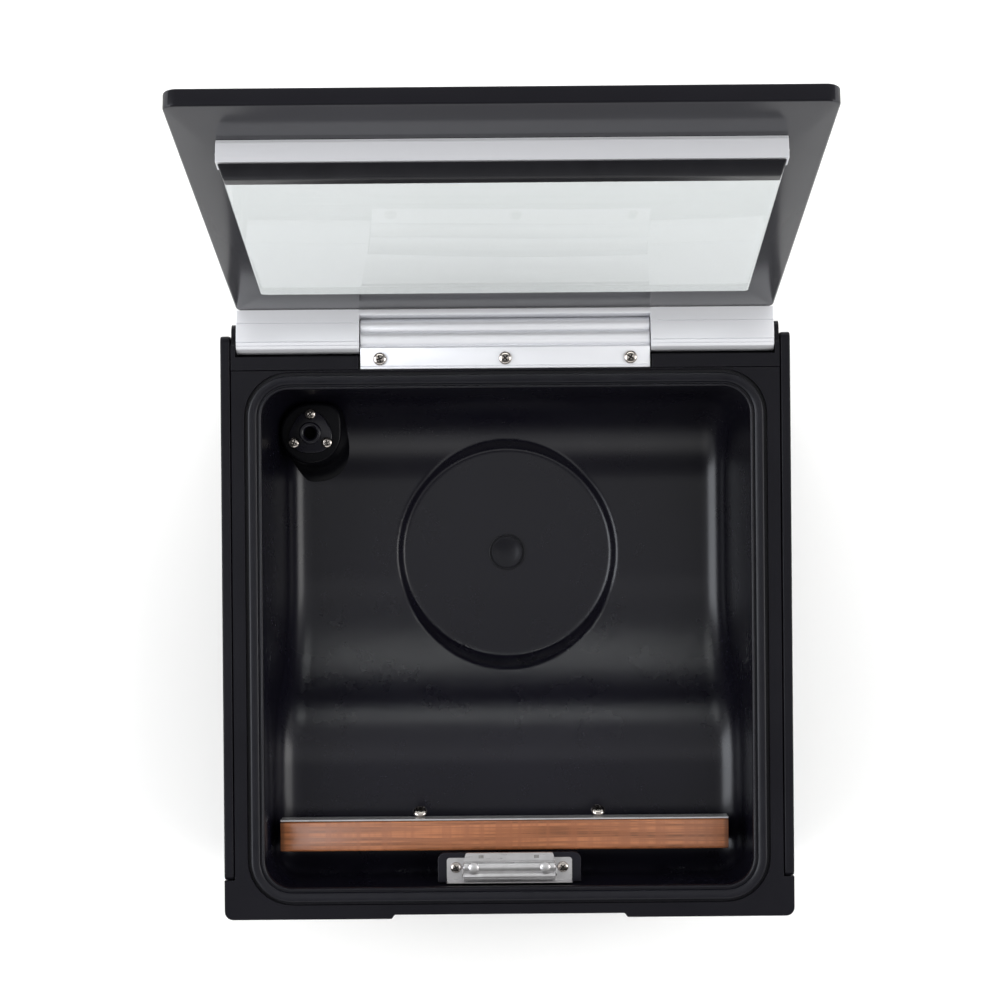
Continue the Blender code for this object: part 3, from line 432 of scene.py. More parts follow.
def rounded(points, radius, steps=4):
    """A closed outline with rounded corners, each with its own radius or all with one."""
    count = len(points)
    radii = radius if isinstance(radius, (list, tuple)) else [radius] * count
    outline = []
    for i, (x, y) in enumerate(points):
        if radii[i] == 0:
            outline.append((x, y))
            continue
        p = Vector((x, y))
        before = Vector(points[i - 1]) - p
        after = Vector(points[(i + 1) % count]) - p
        half = before.angle(after) / 2
        reach = min(radii[i] / math.tan(half), before.length * 0.49, after.length * 0.49)
        a, b = p + before.normalized() * reach, p + after.normalized() * reach
        for step in range(steps + 1):
            t = step / steps
            q = (1 - t) ** 2 * a + 2 * t * (1 - t) * p + t * t * b
            outline.append((q.x, q.y))
    return outline


def arc(x, y, rx, ry, start, end, steps):
    """Points along an ellipse from one angle in degrees to another."""
    return [(x + rx * math.cos(a), y + ry * math.sin(a))
            for a in np.radians(np.linspace(start, end, steps + 1))]


def extrude(work, section, x0, x1, chamfer=0.0):
    """A (y, z) outline along x, with its end faces' edges chamfered."""
    centre = Vector((sum(p[0] for p in section), sum(p[1] for p in section))) / len(section)
    rows = []
    for x, inset in ((x0, chamfer), (x0 + chamfer, 0.0), (x1 - chamfer, 0.0), (x1, chamfer)):
        row = []
        for y, z in section:
            p = Vector((y, z))
            p += (centre - p).normalized() * inset
            row.append(work.verts.new((x, p.x, p.y)))
        rows.append(row)
    if not chamfer:
        bmesh.ops.delete(work, geom=rows[0] + rows[3], context="VERTS")
        rows = rows[1:3]
    for a, b in zip(rows, rows[1:]):
        for i in range(len(a)):
            j = (i + 1) % len(a)
            work.faces.new((a[i], a[j], b[j], b[i]))
    work.faces.new(rows[0])
    work.faces.new(list(reversed(rows[-1])))


def lathe(work, profile, centre, steps):
    """A closed (radius, height) profile turned round +Z, where radius 0 makes a pole."""
    matrix = Matrix.Translation(centre)
    rings = []
    for r, z in profile:
        if r < 1e-7:
            rings.append([work.verts.new(matrix @ Vector((0, 0, z)))])
            continue
        ring = []
        for i in range(steps):
            a = math.tau * i / steps
            ring.append(work.verts.new(matrix @ Vector((r * math.cos(a), r * math.sin(a), z))))
        rings.append(ring)
    pairs = list(zip(rings, rings[1:]))
    if len(rings[0]) > 1 or len(rings[-1]) > 1:
        pairs.append((rings[-1], rings[0]))
    for a, b in pairs:
        for i in range(steps):
            j = (i + 1) % steps
            corners = (a[i % len(a)], a[j % len(a)], b[j % len(b)], b[i % len(b)])
            corners = list(dict.fromkeys(corners))
            if len(corners) > 2:
                work.faces.new(corners)


def rect_path(hx, hy, radius, corner_steps=14):
    """Points of a rounded rectangle about the origin with the outward direction at each."""
    path = []
    for sx, sy, start in ((1, 1, 0), (-1, 1, 90), (-1, -1, 180), (1, -1, 270)):
        for step in range(corner_steps + 1):
            a = math.radians(start + 90 * step / corner_steps)
            out = Vector((math.cos(a), math.sin(a)))
            path.append((Vector((sx * (hx - radius), sy * (hy - radius))) + out * radius, out))
    return path


def sweep_ring(work, section, centre, hx, hy, radius):
    """A closed (outwards, height) section swept round a rounded rectangle."""
    loops = []
    for point, out in rect_path(hx, hy, radius):
        loops.append([work.verts.new((centre[0] + point.x + out.x * d,
                                      centre[1] + point.y + out.y * d, z))
                      for d, z in section])
    for a, b in zip(loops, loops[1:] + loops[:1]):
        for i in range(len(section)):
            j = (i + 1) % len(section)
            work.faces.new((a[i], a[j], b[j], b[i]))


def rect_loop(x0, x1, y0, y1, radius, corner_steps=8):
    """Corner points of a rounded rectangle, always the same number of them."""
    middle = Vector(((x0 + x1) / 2, (y0 + y1) / 2))
    path = rect_path((x1 - x0) / 2, (y1 - y0) / 2, radius, corner_steps)
    return [middle + point for point, _ in path]


def loft(work, loops, close=True):
    """Skins (outline, height) loops of equal length, closed in a ring or capped."""
    rings = [[work.verts.new((p.x, p.y, z)) for p in outline] for outline, z in loops]
    pairs = list(zip(rings, rings[1:]))
    if close:
        pairs.append((rings[-1], rings[0]))
    else:
        work.faces.new(rings[0])
        work.faces.new(list(reversed(rings[-1])))
    for a, b in pairs:
        for i in range(len(a)):
            j = (i + 1) % len(a)
            work.faces.new((a[i], a[j], b[j], b[i]))


def to_lid(work):
    """Carries points given from the hinge axis, lid closed, to where the lid rests."""
    for v in work.verts:
        v.co = TO_REST @ (v.co + PIVOT)


def smooth_min(a, b, blend):
    """The smaller of two heights, rounded off where they cross."""
    h = np.maximum(blend - np.abs(a - b), 0.0) / blend
    return np.minimum(a, b) - h * h * blend / 4


# -------- chamber
WALL_T = 0.0025
FLOOR_DEPTH = 0.107
SHELF_DEPTH = 0.060
SIDE_DRAFT = 0.12
BACK_DRAFT = 0.11
FRONT_DRAFT = 0.08
BACK_FILLET = 0.056
SHELF_FILLET = 0.018
RAMP_FOOT_Y, RAMP_FOOT_R = -0.0657, 0.1200    # the ramp's hollow curve up from the floor
RAMP_TOP_Y, RAMP_TOP_R = -0.1190, 0.0650      # its round top, over to the shelf
SIDE_FILLET = 0.020               # radius between floor and side wall, at the deck's height
FILLET_TAPER = 0.045              # how much it shrinks for each metre further down
FILLET_STEPS = 24
WELL_R = 0.070
WELL_DEPTH = FLOOR_DEPTH + 0.005
WELL_SLOPE = 1 / 0.45
WELL_LIP = 0.0035                 # how far out the well's wall turns steeper
WELL_STEEPER = 4.0                # slope added beyond there
WELL_REACH = WELL_R + 0.020       # how far from its middle the well can touch the tub
WELL_FOOT_BLEND = 0.004           # rounding between its floor and its wall
WELL_RIM_BLEND = 0.006            # rounding between its wall and the tub
FINE, COARSE = 0.0014, 0.0022     # mesh spacing near the well and elsewhere
SHORTEST = 0.0005                 # a last step shorter than this is joined to the one before
CROSS_STEPS = 92                  # columns from the middle to each side fillet
GASKET_WIDTH = 0.0107
GASKET_CORNER = 0.0173            # radius of its inner corners
OVERHANG = 0.0030                 # how far the gasket reaches in over the chamber's mouth
BAND = GASKET_WIDTH - OVERHANG    # from the gasket's outer edge to the tub's inner wall
RIM_CORNER = 0.0198
POST_HOLE_R = 0.0050              # holes that the seal bar's lift posts come up through
POST_INSET = 0.011                # from a lift cylinder's inner side to its post's middle


def chamber_profile(mouth_y, half_y, top):
    """Dense (y, z, normal y, normal z) points of the chamber's side view, back to front."""
    back, front = mouth_y + half_y, mouth_y - half_y
    corners = [
        (back, top, 0.0),
        (back - BACK_DRAFT * FLOOR_DEPTH, -FLOOR_DEPTH, BACK_FILLET),
        (RAMP_FOOT_Y, -FLOOR_DEPTH, RAMP_FOOT_R),
        (RAMP_TOP_Y, -SHELF_DEPTH, RAMP_TOP_R),
        (front + FRONT_DRAFT * SHELF_DEPTH, -SHELF_DEPTH, SHELF_FILLET),
        (front, top, 0.0),
    ]
    points = [(back, top, -1.0, 0.0)]
    for before, (y, z, radius), after in zip(corners, corners[1:], corners[2:]):
        corner = Vector((y, z))
        d0 = (corner - Vector(before[:2])).normalized()
        d1 = (Vector(after[:2]) - corner).normalized()
        turn = math.atan2(d0.x * d1.y - d0.y * d1.x, d0.dot(d1))
        start = corner - d0 * radius * math.tan(abs(turn) / 2)
        sign = 1 if turn < 0 else -1
        n0 = Vector((d0.y, -d0.x))
        centre = start + n0 * radius * sign
        for step in range(FILLET_STEPS + 1):
            t = turn * step / FILLET_STEPS
            n = Vector((n0.x * math.cos(t) - n0.y * math.sin(t),
                        n0.x * math.sin(t) + n0.y * math.cos(t)))
            p = centre - n * radius * sign
            points.append((p.x, p.y, n.x, n.y))
    points.append((front, top, 1.0, 0.0))
    return np.array(points)


def resample(points, spacing):
    """Points along a polyline at the local spacing that the function spacing(y) gives."""
    steps = np.hypot(*np.diff(points[:, :2], axis=0).T)
    along = np.concatenate([[0], np.cumsum(steps)])
    stops, at = [0.0], 0.0
    while at < along[-1]:
        y = np.interp(at, along, points[:, 0])
        at += spacing(y)
        stops.append(min(at, along[-1]))
    if stops[-1] - stops[-2] < SHORTEST:
        stops.pop(-2)
    return np.array([[np.interp(s, along, points[:, k]) for k in range(4)] for s in stops])


def well_middle():
    low, high = box("well_plug")
    return (low.y + high.y) / 2


def chamber_grid(profile, half_x, well_y):
    """Rows of points (below the deck) over the tub, from side wall to side wall."""
    rows = resample(profile, lambda y: FINE if abs(y - well_y) < WELL_REACH else COARSE)
    bend = np.linspace(0, math.pi / 2, 13)
    across = np.arange(CROSS_STEPS) / CROSS_STEPS
    grid = []
    for y, z, ny, nz in rows:
        radius = SIDE_FILLET + FILLET_TAPER * max(-FLOOR_DEPTH, min(z, 0.0))
        flat = half_x + SIDE_DRAFT * (z + nz * radius) - radius
        half = [(flat * t, 0.0) for t in across]
        half += [(flat + radius * math.sin(a), radius * (1 - math.cos(a))) for a in bend]
        sides = ((-1, reversed(half[1:])), (1, half))
        grid.append([(s * x, y + ny * h, z + nz * h) for s, side in sides for x, h in side])
    return np.array(grid)


def sink_well(grid, well_y):
    """Presses the round well into the grid: a flat disc, a cone and a steeper lip."""
    dist = np.hypot(grid[..., 0], grid[..., 1] - well_y)
    beyond = dist - WELL_R
    lip = np.maximum(beyond - WELL_LIP, 0.0) * WELL_STEEPER
    cone = beyond * WELL_SLOPE + lip - WELL_DEPTH
    bowl = -smooth_min(-cone, np.full_like(cone, WELL_DEPTH), WELL_FOOT_BLEND)
    near = (grid[..., 2] < -SHELF_DEPTH) & (dist < WELL_REACH)
    grid[..., 2] = np.where(near, smooth_min(grid[..., 2], bowl, WELL_RIM_BLEND), grid[..., 2])


def bar_posts():
    """Middles of the two holes that the seal bar's lift posts come up through."""
    bar = box("seal_bar_core")
    post_y = (bar[0].y + bar[1].y) / 2
    post_x = box("lift_cylinder_right")[0].x + POST_INSET
    return [Vector((side * post_x, post_y)) for side in (-1, 1)]


def chamber_tub():
    """The chamber as one moulded skin: side view swept across, rounded into the side walls."""
    gasket_low, gasket_high = box("chamber_gasket")
    half_x = gasket_high.x - BAND
    half_y = (gasket_high.y - gasket_low.y) / 2 - BAND
    mouth_y = (gasket_high.y + gasket_low.y) / 2
    top = box("chamber_tub")[1].z - DECK_Z
    well_y = well_middle()
    grid = chamber_grid(chamber_profile(mouth_y, half_y, top), half_x, well_y)
    sink_well(grid, well_y)

    work = bmesh.new()
    rows = [[work.verts.new((x, y, DECK_Z + z)) for x, y, z in line] for line in grid]
    posts = bar_posts()
    for a, b in zip(rows, rows[1:]):
        for i in range(len(a) - 1):
            corners = (a[i], a[i + 1], b[i + 1], b[i])
            middle = sum((v.co for v in corners), Vector()) / 4
            if any((middle.xy - post).length < POST_HOLE_R for post in posts):
                continue
            work.faces.new(corners)
    work.faces.new([line[0] for line in rows])
    work.faces.new([line[-1] for line in reversed(rows)])
    bmesh.ops.recalc_face_normals(work, faces=work.faces)
    if sum(face.normal.z for face in work.faces) < 0:
        bmesh.ops.reverse_faces(work, faces=work.faces)
    tub = piece("chamber_skin", work, "cabinet", "chamber_black", ("chamber_tub",), 50, sheet=True)
    shell = tub.modifiers.new("wall", "SOLIDIFY")
    shell.thickness = WALL_T
    shell.offset = -1
    chamber_rim(half_x + SIDE_DRAFT * top, half_y, mouth_y, top)


def chamber_rim(half_x, half_y, mouth_y, top):
    """The tub's flange, which lies on the deck under the gasket."""
    out = box("chamber_tub")[1].x - half_x
    t = top + DECK_Z
    section = [(0.0012, t), (out, t), (out, t - 0.003), (0.0028, t - 0.003), (0.0028, t - 0.004),
               (0.0, t - 0.004), (0.0, t - 0.0012), (0.00035, t - 0.00035)]
    work = bmesh.new()
    sweep_ring(work, section, (0, mouth_y), half_x, half_y, RIM_CORNER)
    piece("chamber_rim", work, "cabinet", "chamber_black")


def port_boss():
    """Round boss with a flared foot and one squared corner, under the vacuum fitting."""
    low, high = box("port_fitting")
    centre = Vector(((low.x + high.x) / 2, (low.y + high.y) / 2, 0))
    top = low.z - 0.0003
    base = DECK_Z - FLOOR_DEPTH - 0.001
    bore, top_r, foot_r = 0.0052, 0.0200, 0.0215
    flare, edge, skin = 0.0155, 0.0020, 0.0015
    profile = [(bore, top), *arc(top_r - edge, top - edge, edge, edge, 90, 0, 6),
               *arc(foot_r + flare, base + flare, flare, flare, 180, 270, 9),
               (foot_r + flare, base - skin), (bore, base - skin)]
    work = bmesh.new()
    lathe(work, profile, centre, steps=72)
    for v in work.verts:
        across = v.co.xy - centre.xy
        if across.x > 0 and across.y > 0 and across.length > bore + 0.0008:
            x, y = across.normalized()
            v.co.xy = centre.xy + across * (x ** 4 + y ** 4) ** -0.25
    # The boss wears a darker copy of the chamber's black: painted shade.
    piece("port_boss", work, "cabinet", "chamber_black", material=FINISHES["shaded_boss_black"])


def gasket():
    """Soft D-shaped seal with a raised lip round its inner edge."""
    low, high = box("chamber_gasket")
    h, b = high.z, low.z
    width = GASKET_WIDTH
    shoulder = width - 0.0019
    section = [(0.0002, b), (width, b), (width, b + 0.0003), (shoulder, b + 0.0004),
               (shoulder, h - 0.0008), (shoulder - 0.0002, h - 0.0004),
               (shoulder - 0.0006, h - 0.0001), (0.0074, h), (0.0056, h - 0.0001),
               (0.0040, h - 0.0004), (0.0031, h - 0.0009), (0.0028, h - 0.0018),
               (0.0021, h - 0.0018), (0.0018, h - 0.0006), (0.0013, h - 0.0002),
               (0.0007, h - 0.0004), (0.0, h - 0.0012)]
    work = bmesh.new()
    hx, hy = high.x - width, (high.y - low.y) / 2 - width
    sweep_ring(work, section, (0, (high.y + low.y) / 2), hx, hy, GASKET_CORNER)
    piece("gasket_seal", work, "cabinet", "rubber", ("chamber_gasket",), 60)


def well_plug():
    """Dished centre plug with a rolled rim, in a narrow groove."""
    low, high = box("well_plug")
    centre = ((low.x + high.x) / 2, (low.y + high.y) / 2, low.z)
    r = (high.x - low.x) / 2
    profile = [(0.0, 0.0006), (r * 0.30, 0.0007), (r * 0.60, 0.0012), (r * 0.78, 0.0019),
               (r * 0.86, 0.0018), (r * 0.88, 0.0002), (r * 0.97, 0.0002), (r * 0.98, 0.0014),
               (r, 0.0013), (r, 0.0), (0.0, 0.0)]
    work = bmesh.new()
    lathe(work, profile, centre, steps=72)
    piece("plug_disc", work, "cabinet", "rubber", ("well_plug",), 50)


# -------- fasteners
# Pan head, from its pole to its foot, in shares of the radius and of the height.
DOME = ((0.0, 1.0), (0.30, 0.985), (0.55, 0.93), (0.76, 0.82), (0.90, 0.64), (0.975, 0.42),
        (1.0, 0.2), (0.97, 0.0), (0.0, 0.0))
# Length and width of the recess's arms in shares of the radius, and their height in shares of
# the head's: at the mouth, just above the dome, and at the floor.
RECESS_MOUTH = (1.12, 0.26, 1.10)
RECESS_FLOOR = (0.62, 0.16, 0.35)
DOME_FALL, DOME_POWER = 0.45, 2.4           # the dome again, as a formula in the same shares
RECESS_REACH, RECESS_SHADE = 0.6, 0.88      # how far out, and how far under the dome, it is dark


def cross_recess(r, h, spin):
    """Tapered cross, to be cut out of a screw head."""
    work = bmesh.new()
    for angle in (0, 90):
        arm = bmesh.ops.create_cube(work, size=1.0)["verts"]
        for v in arm:
            length, width, height = RECESS_FLOOR if v.co.z < 0 else RECESS_MOUTH
            v.co = (v.co.x * r * length, v.co.y * r * width, h * height)
        turn = Matrix.Rotation(math.radians(angle + spin), 3, "Z")
        bmesh.ops.rotate(work, verts=arm, matrix=turn)
    return work


def blank(name, work):
    """Turns a bmesh into a plain object."""
    mesh = bpy.data.meshes.new(name)
    work.to_mesh(mesh)
    work.free()
    obj = bpy.data.objects.new(name, mesh)
    bpy.context.scene.collection.objects.link(obj)
    return obj


def cut_out(body, tool):
    """The body's mesh less the tool's. Both objects are removed."""
    cut = body.modifiers.new("recess", "BOOLEAN")
    cut.operation = "DIFFERENCE"
    cut.object = tool
    cut.use_self = True
    bpy.context.view_layer.update()
    graph = bpy.context.evaluated_depsgraph_get()
    mesh = bpy.data.meshes.new_from_object(body.evaluated_get(graph))
    for obj in (body, tool):
        bpy.data.objects.remove(obj)
    return mesh


def mark_recess_shade(work, centre, up, r, h):
    """Gives the second material, a painted shade, to the faces that lie in the recess, well under the dome."""
    for face in work.faces:
        away = face.calc_center_median() - centre
        height = away.dot(up)
        radius = (away - up * height).length
        dome = h * (1 - DOME_FALL * (radius / r) ** DOME_POWER)
        if radius < r * RECESS_REACH and h * 0.2 < height < dome * RECESS_SHADE:
            face.material_index = 1


def phillips_screw(name, node, body, turn=Matrix.Identity(4), spin=0.0, grow=1.0):
    """Pan head with a cross recess, in the place of the CAD screw."""
    axes = turn.to_3x3()
    inverse = axes.inverted()
    low, high = span([inverse @ v.co for v in NODES[node].data.vertices])
    r, h = (high.x - low.x) / 2 * grow, high.z - low.z
    centre = axes @ Vector(((low.x + high.x) / 2, (low.y + high.y) / 2, low.z))
    head = bmesh.new()
    lathe(head, [(r * out, h * up) for out, up in DOME], (0, 0, 0), steps=40)
    mesh = cut_out(blank("head_blank", head), blank("recess_tool", cross_recess(r, h, spin)))
    mesh.transform(Matrix.Translation(centre) @ turn)
    work = bmesh.new()
    work.from_mesh(mesh)
    bpy.data.meshes.remove(mesh)
    mark_recess_shade(work, centre, axes @ Vector((0, 0, 1)), r, h)
    # The second finish paints shade into the cross recess.
    piece(name, work, body, "stainless", (node,), 30, FINISHES["nickel"], (FINISHES["recess"],))


# -------- hinge
def lid_hinge_profile():
    """Extruded lid profile: flat front face with fine lines, folded round the pin."""
    low, high = closed_box("lid_hinge_profile")
    half, top = high.x, high.z
    inner = box("hinge_bracket")[1].x + 0.0007
    front, back, strip = low.y, high.y, 0.0095
    line, depth = 0.0004, 0.0007
    lines = []
    for z in (0.0044, -0.0078):
        lines += [(front, z + line), (front + depth, z + 0.0001),
                  (front + depth, z - 0.0001), (front, z - line)]
    knuckle = [(back, top), (front, top)] + lines
    knuckle += rounded([(front, -0.0098), (-0.0080, -0.0118), (-0.0045, -0.0133),
                        (0.0012, -0.0133)], [0.0004, 0.0006, 0.0004, 0.0006], 3)
    knuckle += arc(0, 0, back, back, -60, 0, 11)
    work = bmesh.new()
    for x0, x1 in ((-half, -inner), (inner, half)):
        extrude(work, knuckle, x0, x1, 0.0003)
    bar = rounded([(back, top), (front, top), (front, strip), (back, strip)], 0.0004, 2)
    extrude(work, bar, -inner, inner)
    to_lid(work)
    piece("lid_hinge_extrusion", work, "lid", "aluminium", ("lid_hinge_profile",), 25)


def hinge_bracket():
    """Fixed bracket: two half-round ribs over the pin and a flange with a pressed bead."""
    low, high = box("hinge_bracket")
    y, z = PIVOT.y, PIVOT.z
    knuckle_r, rear_r, front_r = high.y - y, 0.0042, 0.0047
    top = DECK_Z - 0.0016
    flange = [(y - 0.0087, z + 0.0072), (y - 0.0094, top - 0.0003), (y - 0.0098, top),
              (low.y + 0.0021, top), (low.y + 0.0017, top - 0.0004), (low.y + 0.0013, top),
              (low.y + 0.0003, top), (low.y, top - 0.0003), (low.y, top - 0.0025),
              (y - 0.0105, top - 0.0025)]
    section = (arc(y, z, knuckle_r, knuckle_r, -150, 5, 22)
               + arc(y + 0.0040, z + 0.0032, rear_r, rear_r, 0, 144, 18)[:-1]
               + arc(y - 0.0039, z + 0.0044, front_r, front_r, 15, 150, 18) + flange)
    work = bmesh.new()
    extrude(work, section, low.x, high.x, 0.0002)
    piece("hinge_bracket_extrusion", work, "cabinet", "aluminium", ("hinge_bracket",), 25)


# -------- lid
WINDOW_HALF = 0.1511              # half width of the lid's window
WINDOW_NEAR, WINDOW_FAR = -0.0430, -0.3057    # its two ends, from the hinge axis
WINDOW_CORNER = 0.003
WINDOW_SLANT = 0.0235             # how far the opening widens towards the hinge, outwards
WINDOW_DRAFT = 0.0015             # how far its three other sides widen
PANE_GAP = 0.00015
LID_CORNER = 0.0075
LID_EDGE = 0.0013                 # rounding of the plate's edges
EDGE_BAND = 0.0010                # how far in the satin finish of the plate's rim reaches


def window_opening(t, gap=0.0):
    """Outline of the lid's opening: t goes from 0 inside to 1 outside."""
    side = WINDOW_DRAFT * t - gap
    return rect_loop(-WINDOW_HALF - side, WINDOW_HALF + side, WINDOW_FAR - side,
                     WINDOW_NEAR + WINDOW_SLANT * t - gap, WINDOW_CORNER)


def lid_plate():
    """Black plate with soft, satin edges and a slanted window opening."""
    low, high = closed_box("lid_frame")

    def outer(inset):
        return rect_loop(low.x + inset, high.x - inset, low.y + inset, high.y - inset,
                         LID_CORNER - inset)
    edge = [(LID_EDGE - y, LID_EDGE - x) for x, y in arc(0, 0, LID_EDGE, LID_EDGE, 0, 90, 4)]
    loops = [(outer(inset), low.z + rise) for inset, rise in edge]
    loops += [(outer(inset), high.z - rise) for inset, rise in reversed(edge)]
    loops += [(window_opening(1.0), high.z), (window_opening(0.0), low.z)]
    work = bmesh.new()
    loft(work, loops)
    middle_y = (low.y + high.y) / 2
    for face in work.faces:
        spot = face.calc_center_median()
        past = max(abs(spot.x) - high.x, abs(spot.y - middle_y) - (high.y - low.y) / 2)
        if past > -EDGE_BAND:
            face.material_index = 1
    to_lid(work)
    piece("lid_plate", work, "lid", "satin_black", ("lid_frame",),
          material=FINISHES["lid_black"], extra=(FINISHES["satin_black"],))


def lid_pane():
    """Clear block that fills the plate's opening."""
    low, high = closed_box("lid_frame")
    work = bmesh.new()
    loft(work, [(window_opening(0.0, PANE_GAP), low.z + PANE_GAP),
                (window_opening(1.0, PANE_GAP), high.z - PANE_GAP)], False)
    to_lid(work)
    piece("lid_pane", work, "lid", "glass", ("lid_glass",))


def lid_bar_channel():
    """Aluminium channel with a stepped back edge and two fine grooves in its face."""
    low, high = closed_box("lid_bar_holder")
    y0, y1, z0, z1 = low.y, high.y, low.z, high.z
    step, rise, soft = 0.0012, 0.0014, 0.0002
    inset, groove, half_groove, bevel = 0.0022, 0.0004, 0.0003, 0.0004
    section = [(y0, z0 + soft), (y0, z1 - rise - soft), (y0 + soft, z1 - rise),
               (y0 + step, z1 - rise), (y0 + step, z1), (y1, z1)]
    for z in (z1 - inset, z0 + inset):
        section += [(y1, z + half_groove), (y1 - groove, z), (y1, z - half_groove)]
    section += [(y1, z0 + bevel), (y1 - bevel, z0)]
    work = bmesh.new()
    extrude(work, section, low.x, high.x, 0.0003)
    to_lid(work)
    piece("lid_bar_channel", work, "lid", "aluminium", ("lid_bar_holder",), 25)


def silicone_strip():
    """Counter strip with a rounded crown and ends that slope in."""
    low, high = closed_box("lid_silicone_bar")
    z_top = closed_box("lid_bar_holder")[0].z - 0.0003
    crown, foot, end_slope = 0.0022, 0.0004, 0.38
    section = rounded([(low.y, z_top), (low.y, low.z), (high.y, low.z), (high.y, z_top)],
                      [foot, crown, crown, foot], 5)
    work = bmesh.new()
    extrude(work, section, low.x, high.x, 0.0005)
    for v in work.verts:
        v.co.x -= math.copysign(max(0.0, z_top - v.co.z) * end_slope, v.co.x)
    to_lid(work)
    piece("silicone_strip", work, "lid", "silicone", ("lid_silicone_bar",), 40)


# -------- seal bar
def taped_bar():
    """Tape wrapped over the bar, with softly rounded edges."""
    low, high = box("sealing_tape")
    t, soft, bend = 0.0006, 0.0016, 0.0006
    y0, y1, z0, z1 = low.y, high.y, low.z, high.z
    middle, heater = (y0 + y1) / 2, 0.003
    outside = rounded([(y0, z0), (y0, z1), (middle - heater, z1), (middle + heater, z1),
                       (y1, z1), (y1, z0)], [0, soft, 0, 0, soft, 0], 6)
    inside = [(y1 - t, z0), (y1 - t, z1 - t - bend), (y1 - t - bend, z1 - t),
              (y0 + t + bend, z1 - t), (y0 + t, z1 - t - bend), (y0 + t, z0)]
    work = bmesh.new()
    extrude(work, outside + inside, low.x, high.x, 0.0004)
    piece("tape_wrap", work, "seal_bar", "sealing_tape", ("sealing_tape",), 40)


# -------- bag clip
LIP_RISE = 0.0035                 # from the jaw's underside to the top of its flat back lip
EAR_GAP, EAR_T = 0.0004, 0.0008


def clip_plate():
    """Plate with a leaning fence along its front and an ear at each end of the jaw."""
    low, high = box("clip_base")
    jaw_end = box("clip_jaw")[1].x
    pin_low, pin_high = box("clip_pin")
    pin_y, pin_z = (pin_low.y + pin_high.y) / 2, (pin_low.z + pin_high.z) / 2
    plate, fence = 0.0011, 0.0011
    work = bmesh.new()
    outline = rect_loop(low.x, high.x, low.y + 0.0002, high.y, 0.0018, 5)
    loft(work, [(outline, low.z), (outline, low.z + plate)], False)
    lean = [(low.y + fence, low.z + plate - 0.0002), (low.y + 0.0004, high.z),
            (low.y, high.z - 0.0002), (low.y, low.z)]
    extrude(work, rounded(lean, 0.0003, 3), low.x, high.x, 0.0002)
    foot, crest = 0.0040, 0.0022
    ear = rounded([(pin_y - foot, low.z + 0.0004), (pin_y + foot, low.z + 0.0004),
                   (pin_y + crest, pin_z + crest), (pin_y - crest, pin_z + crest)], 0.0012, 4)
    near, far = jaw_end + EAR_GAP, jaw_end + EAR_GAP + EAR_T
    for x0, x1 in ((-far, -near), (near, far)):
        extrude(work, ear, x0, x1, 0.0001)
    piece("clip_plate", work, "cabinet", "stainless", ("clip_base",), 30)


def clip_jaw():
    """Rolled jaw: a flat back lip with cut corners, two rolls and a turned-down front."""
    low, high = box("clip_jaw")
    back, floor, lip = high.y, low.z, low.z + LIP_RISE
    section = ([(back, lip - 0.0010), (back - 0.0002, lip), (back - 0.0052, lip)]
               + arc(back - 0.0090, lip - 0.0002, 0.0036, 0.0038, 0, 160, 18)
               + arc(back - 0.0147, lip - 0.0006, 0.0027, 0.0034, 62, 180, 18)
               + [(low.y, floor + 0.0020), (low.y + 0.0012, floor + 0.0013),
                  (back - 0.0138, floor + 0.0006), (back - 0.0118, floor + 0.0001),
                  (back - 0.0054, floor), (back - 0.0050, lip - 0.0010)])
    work = bmesh.new()
    extrude(work, section, low.x, high.x, 0.0004)
    corner = 0.0024
    for v in work.verts:
        past = v.co.y - (back - corner)
        if past > 0:
            v.co.x -= math.copysign(past * past / corner, v.co.x)
    piece("clip_jaw_roll", work, "clip_jaw", "stainless", ("clip_jaw",), 25)


def clip_pads():
    """Two small square pads pressed into the jaw's back lip."""
    low, high = box("clip_jaw")
    back, lip = high.y, low.z + LIP_RISE
    half, sunk, proud = 0.0016, 0.0002, 0.00006
    work = bmesh.new()
    for x in (-0.0180, 0.0173):
        mark = rect_loop(x - half, x + half, back - 0.0036, back - 0.0016, 0.0002, 2)
        loft(work, [(mark, lip - sunk), (mark, lip + proud)], False)
    piece("clip_lip_pads", work, "clip_jaw", "stainless", material=FINISHES["dull_steel"])


def clip_rivets():
    """A domed rivet at each end of the jaw."""
    low, high = box("clip_jaw")
    r, h, skirt, inset = 0.0035, 0.0013, 0.0007, 0.0064
    dome = arc(0, 0, r, h, 90, 0, 6)[1:]
    for i, x in enumerate((low.x + inset, high.x - inset)):
        work = bmesh.new()
        lathe(work, [(0.0, h), *dome, (r, -skirt), (0.0, -skirt)],
              (x, high.y - 0.0092, high.z - h), steps=32)
        piece(f"clip_rivet_{i + 1}", work, "clip_jaw", "stainless", smooth=60)


# -------- vacuum port
PORT_FLANGE_T = 0.003
PORT_BORE = 0.0038
PORT_SPOUT = 0.0073
PORT_LOBES = 3
PORT_WAIST = 0.87                 # share of the radius between the lobes


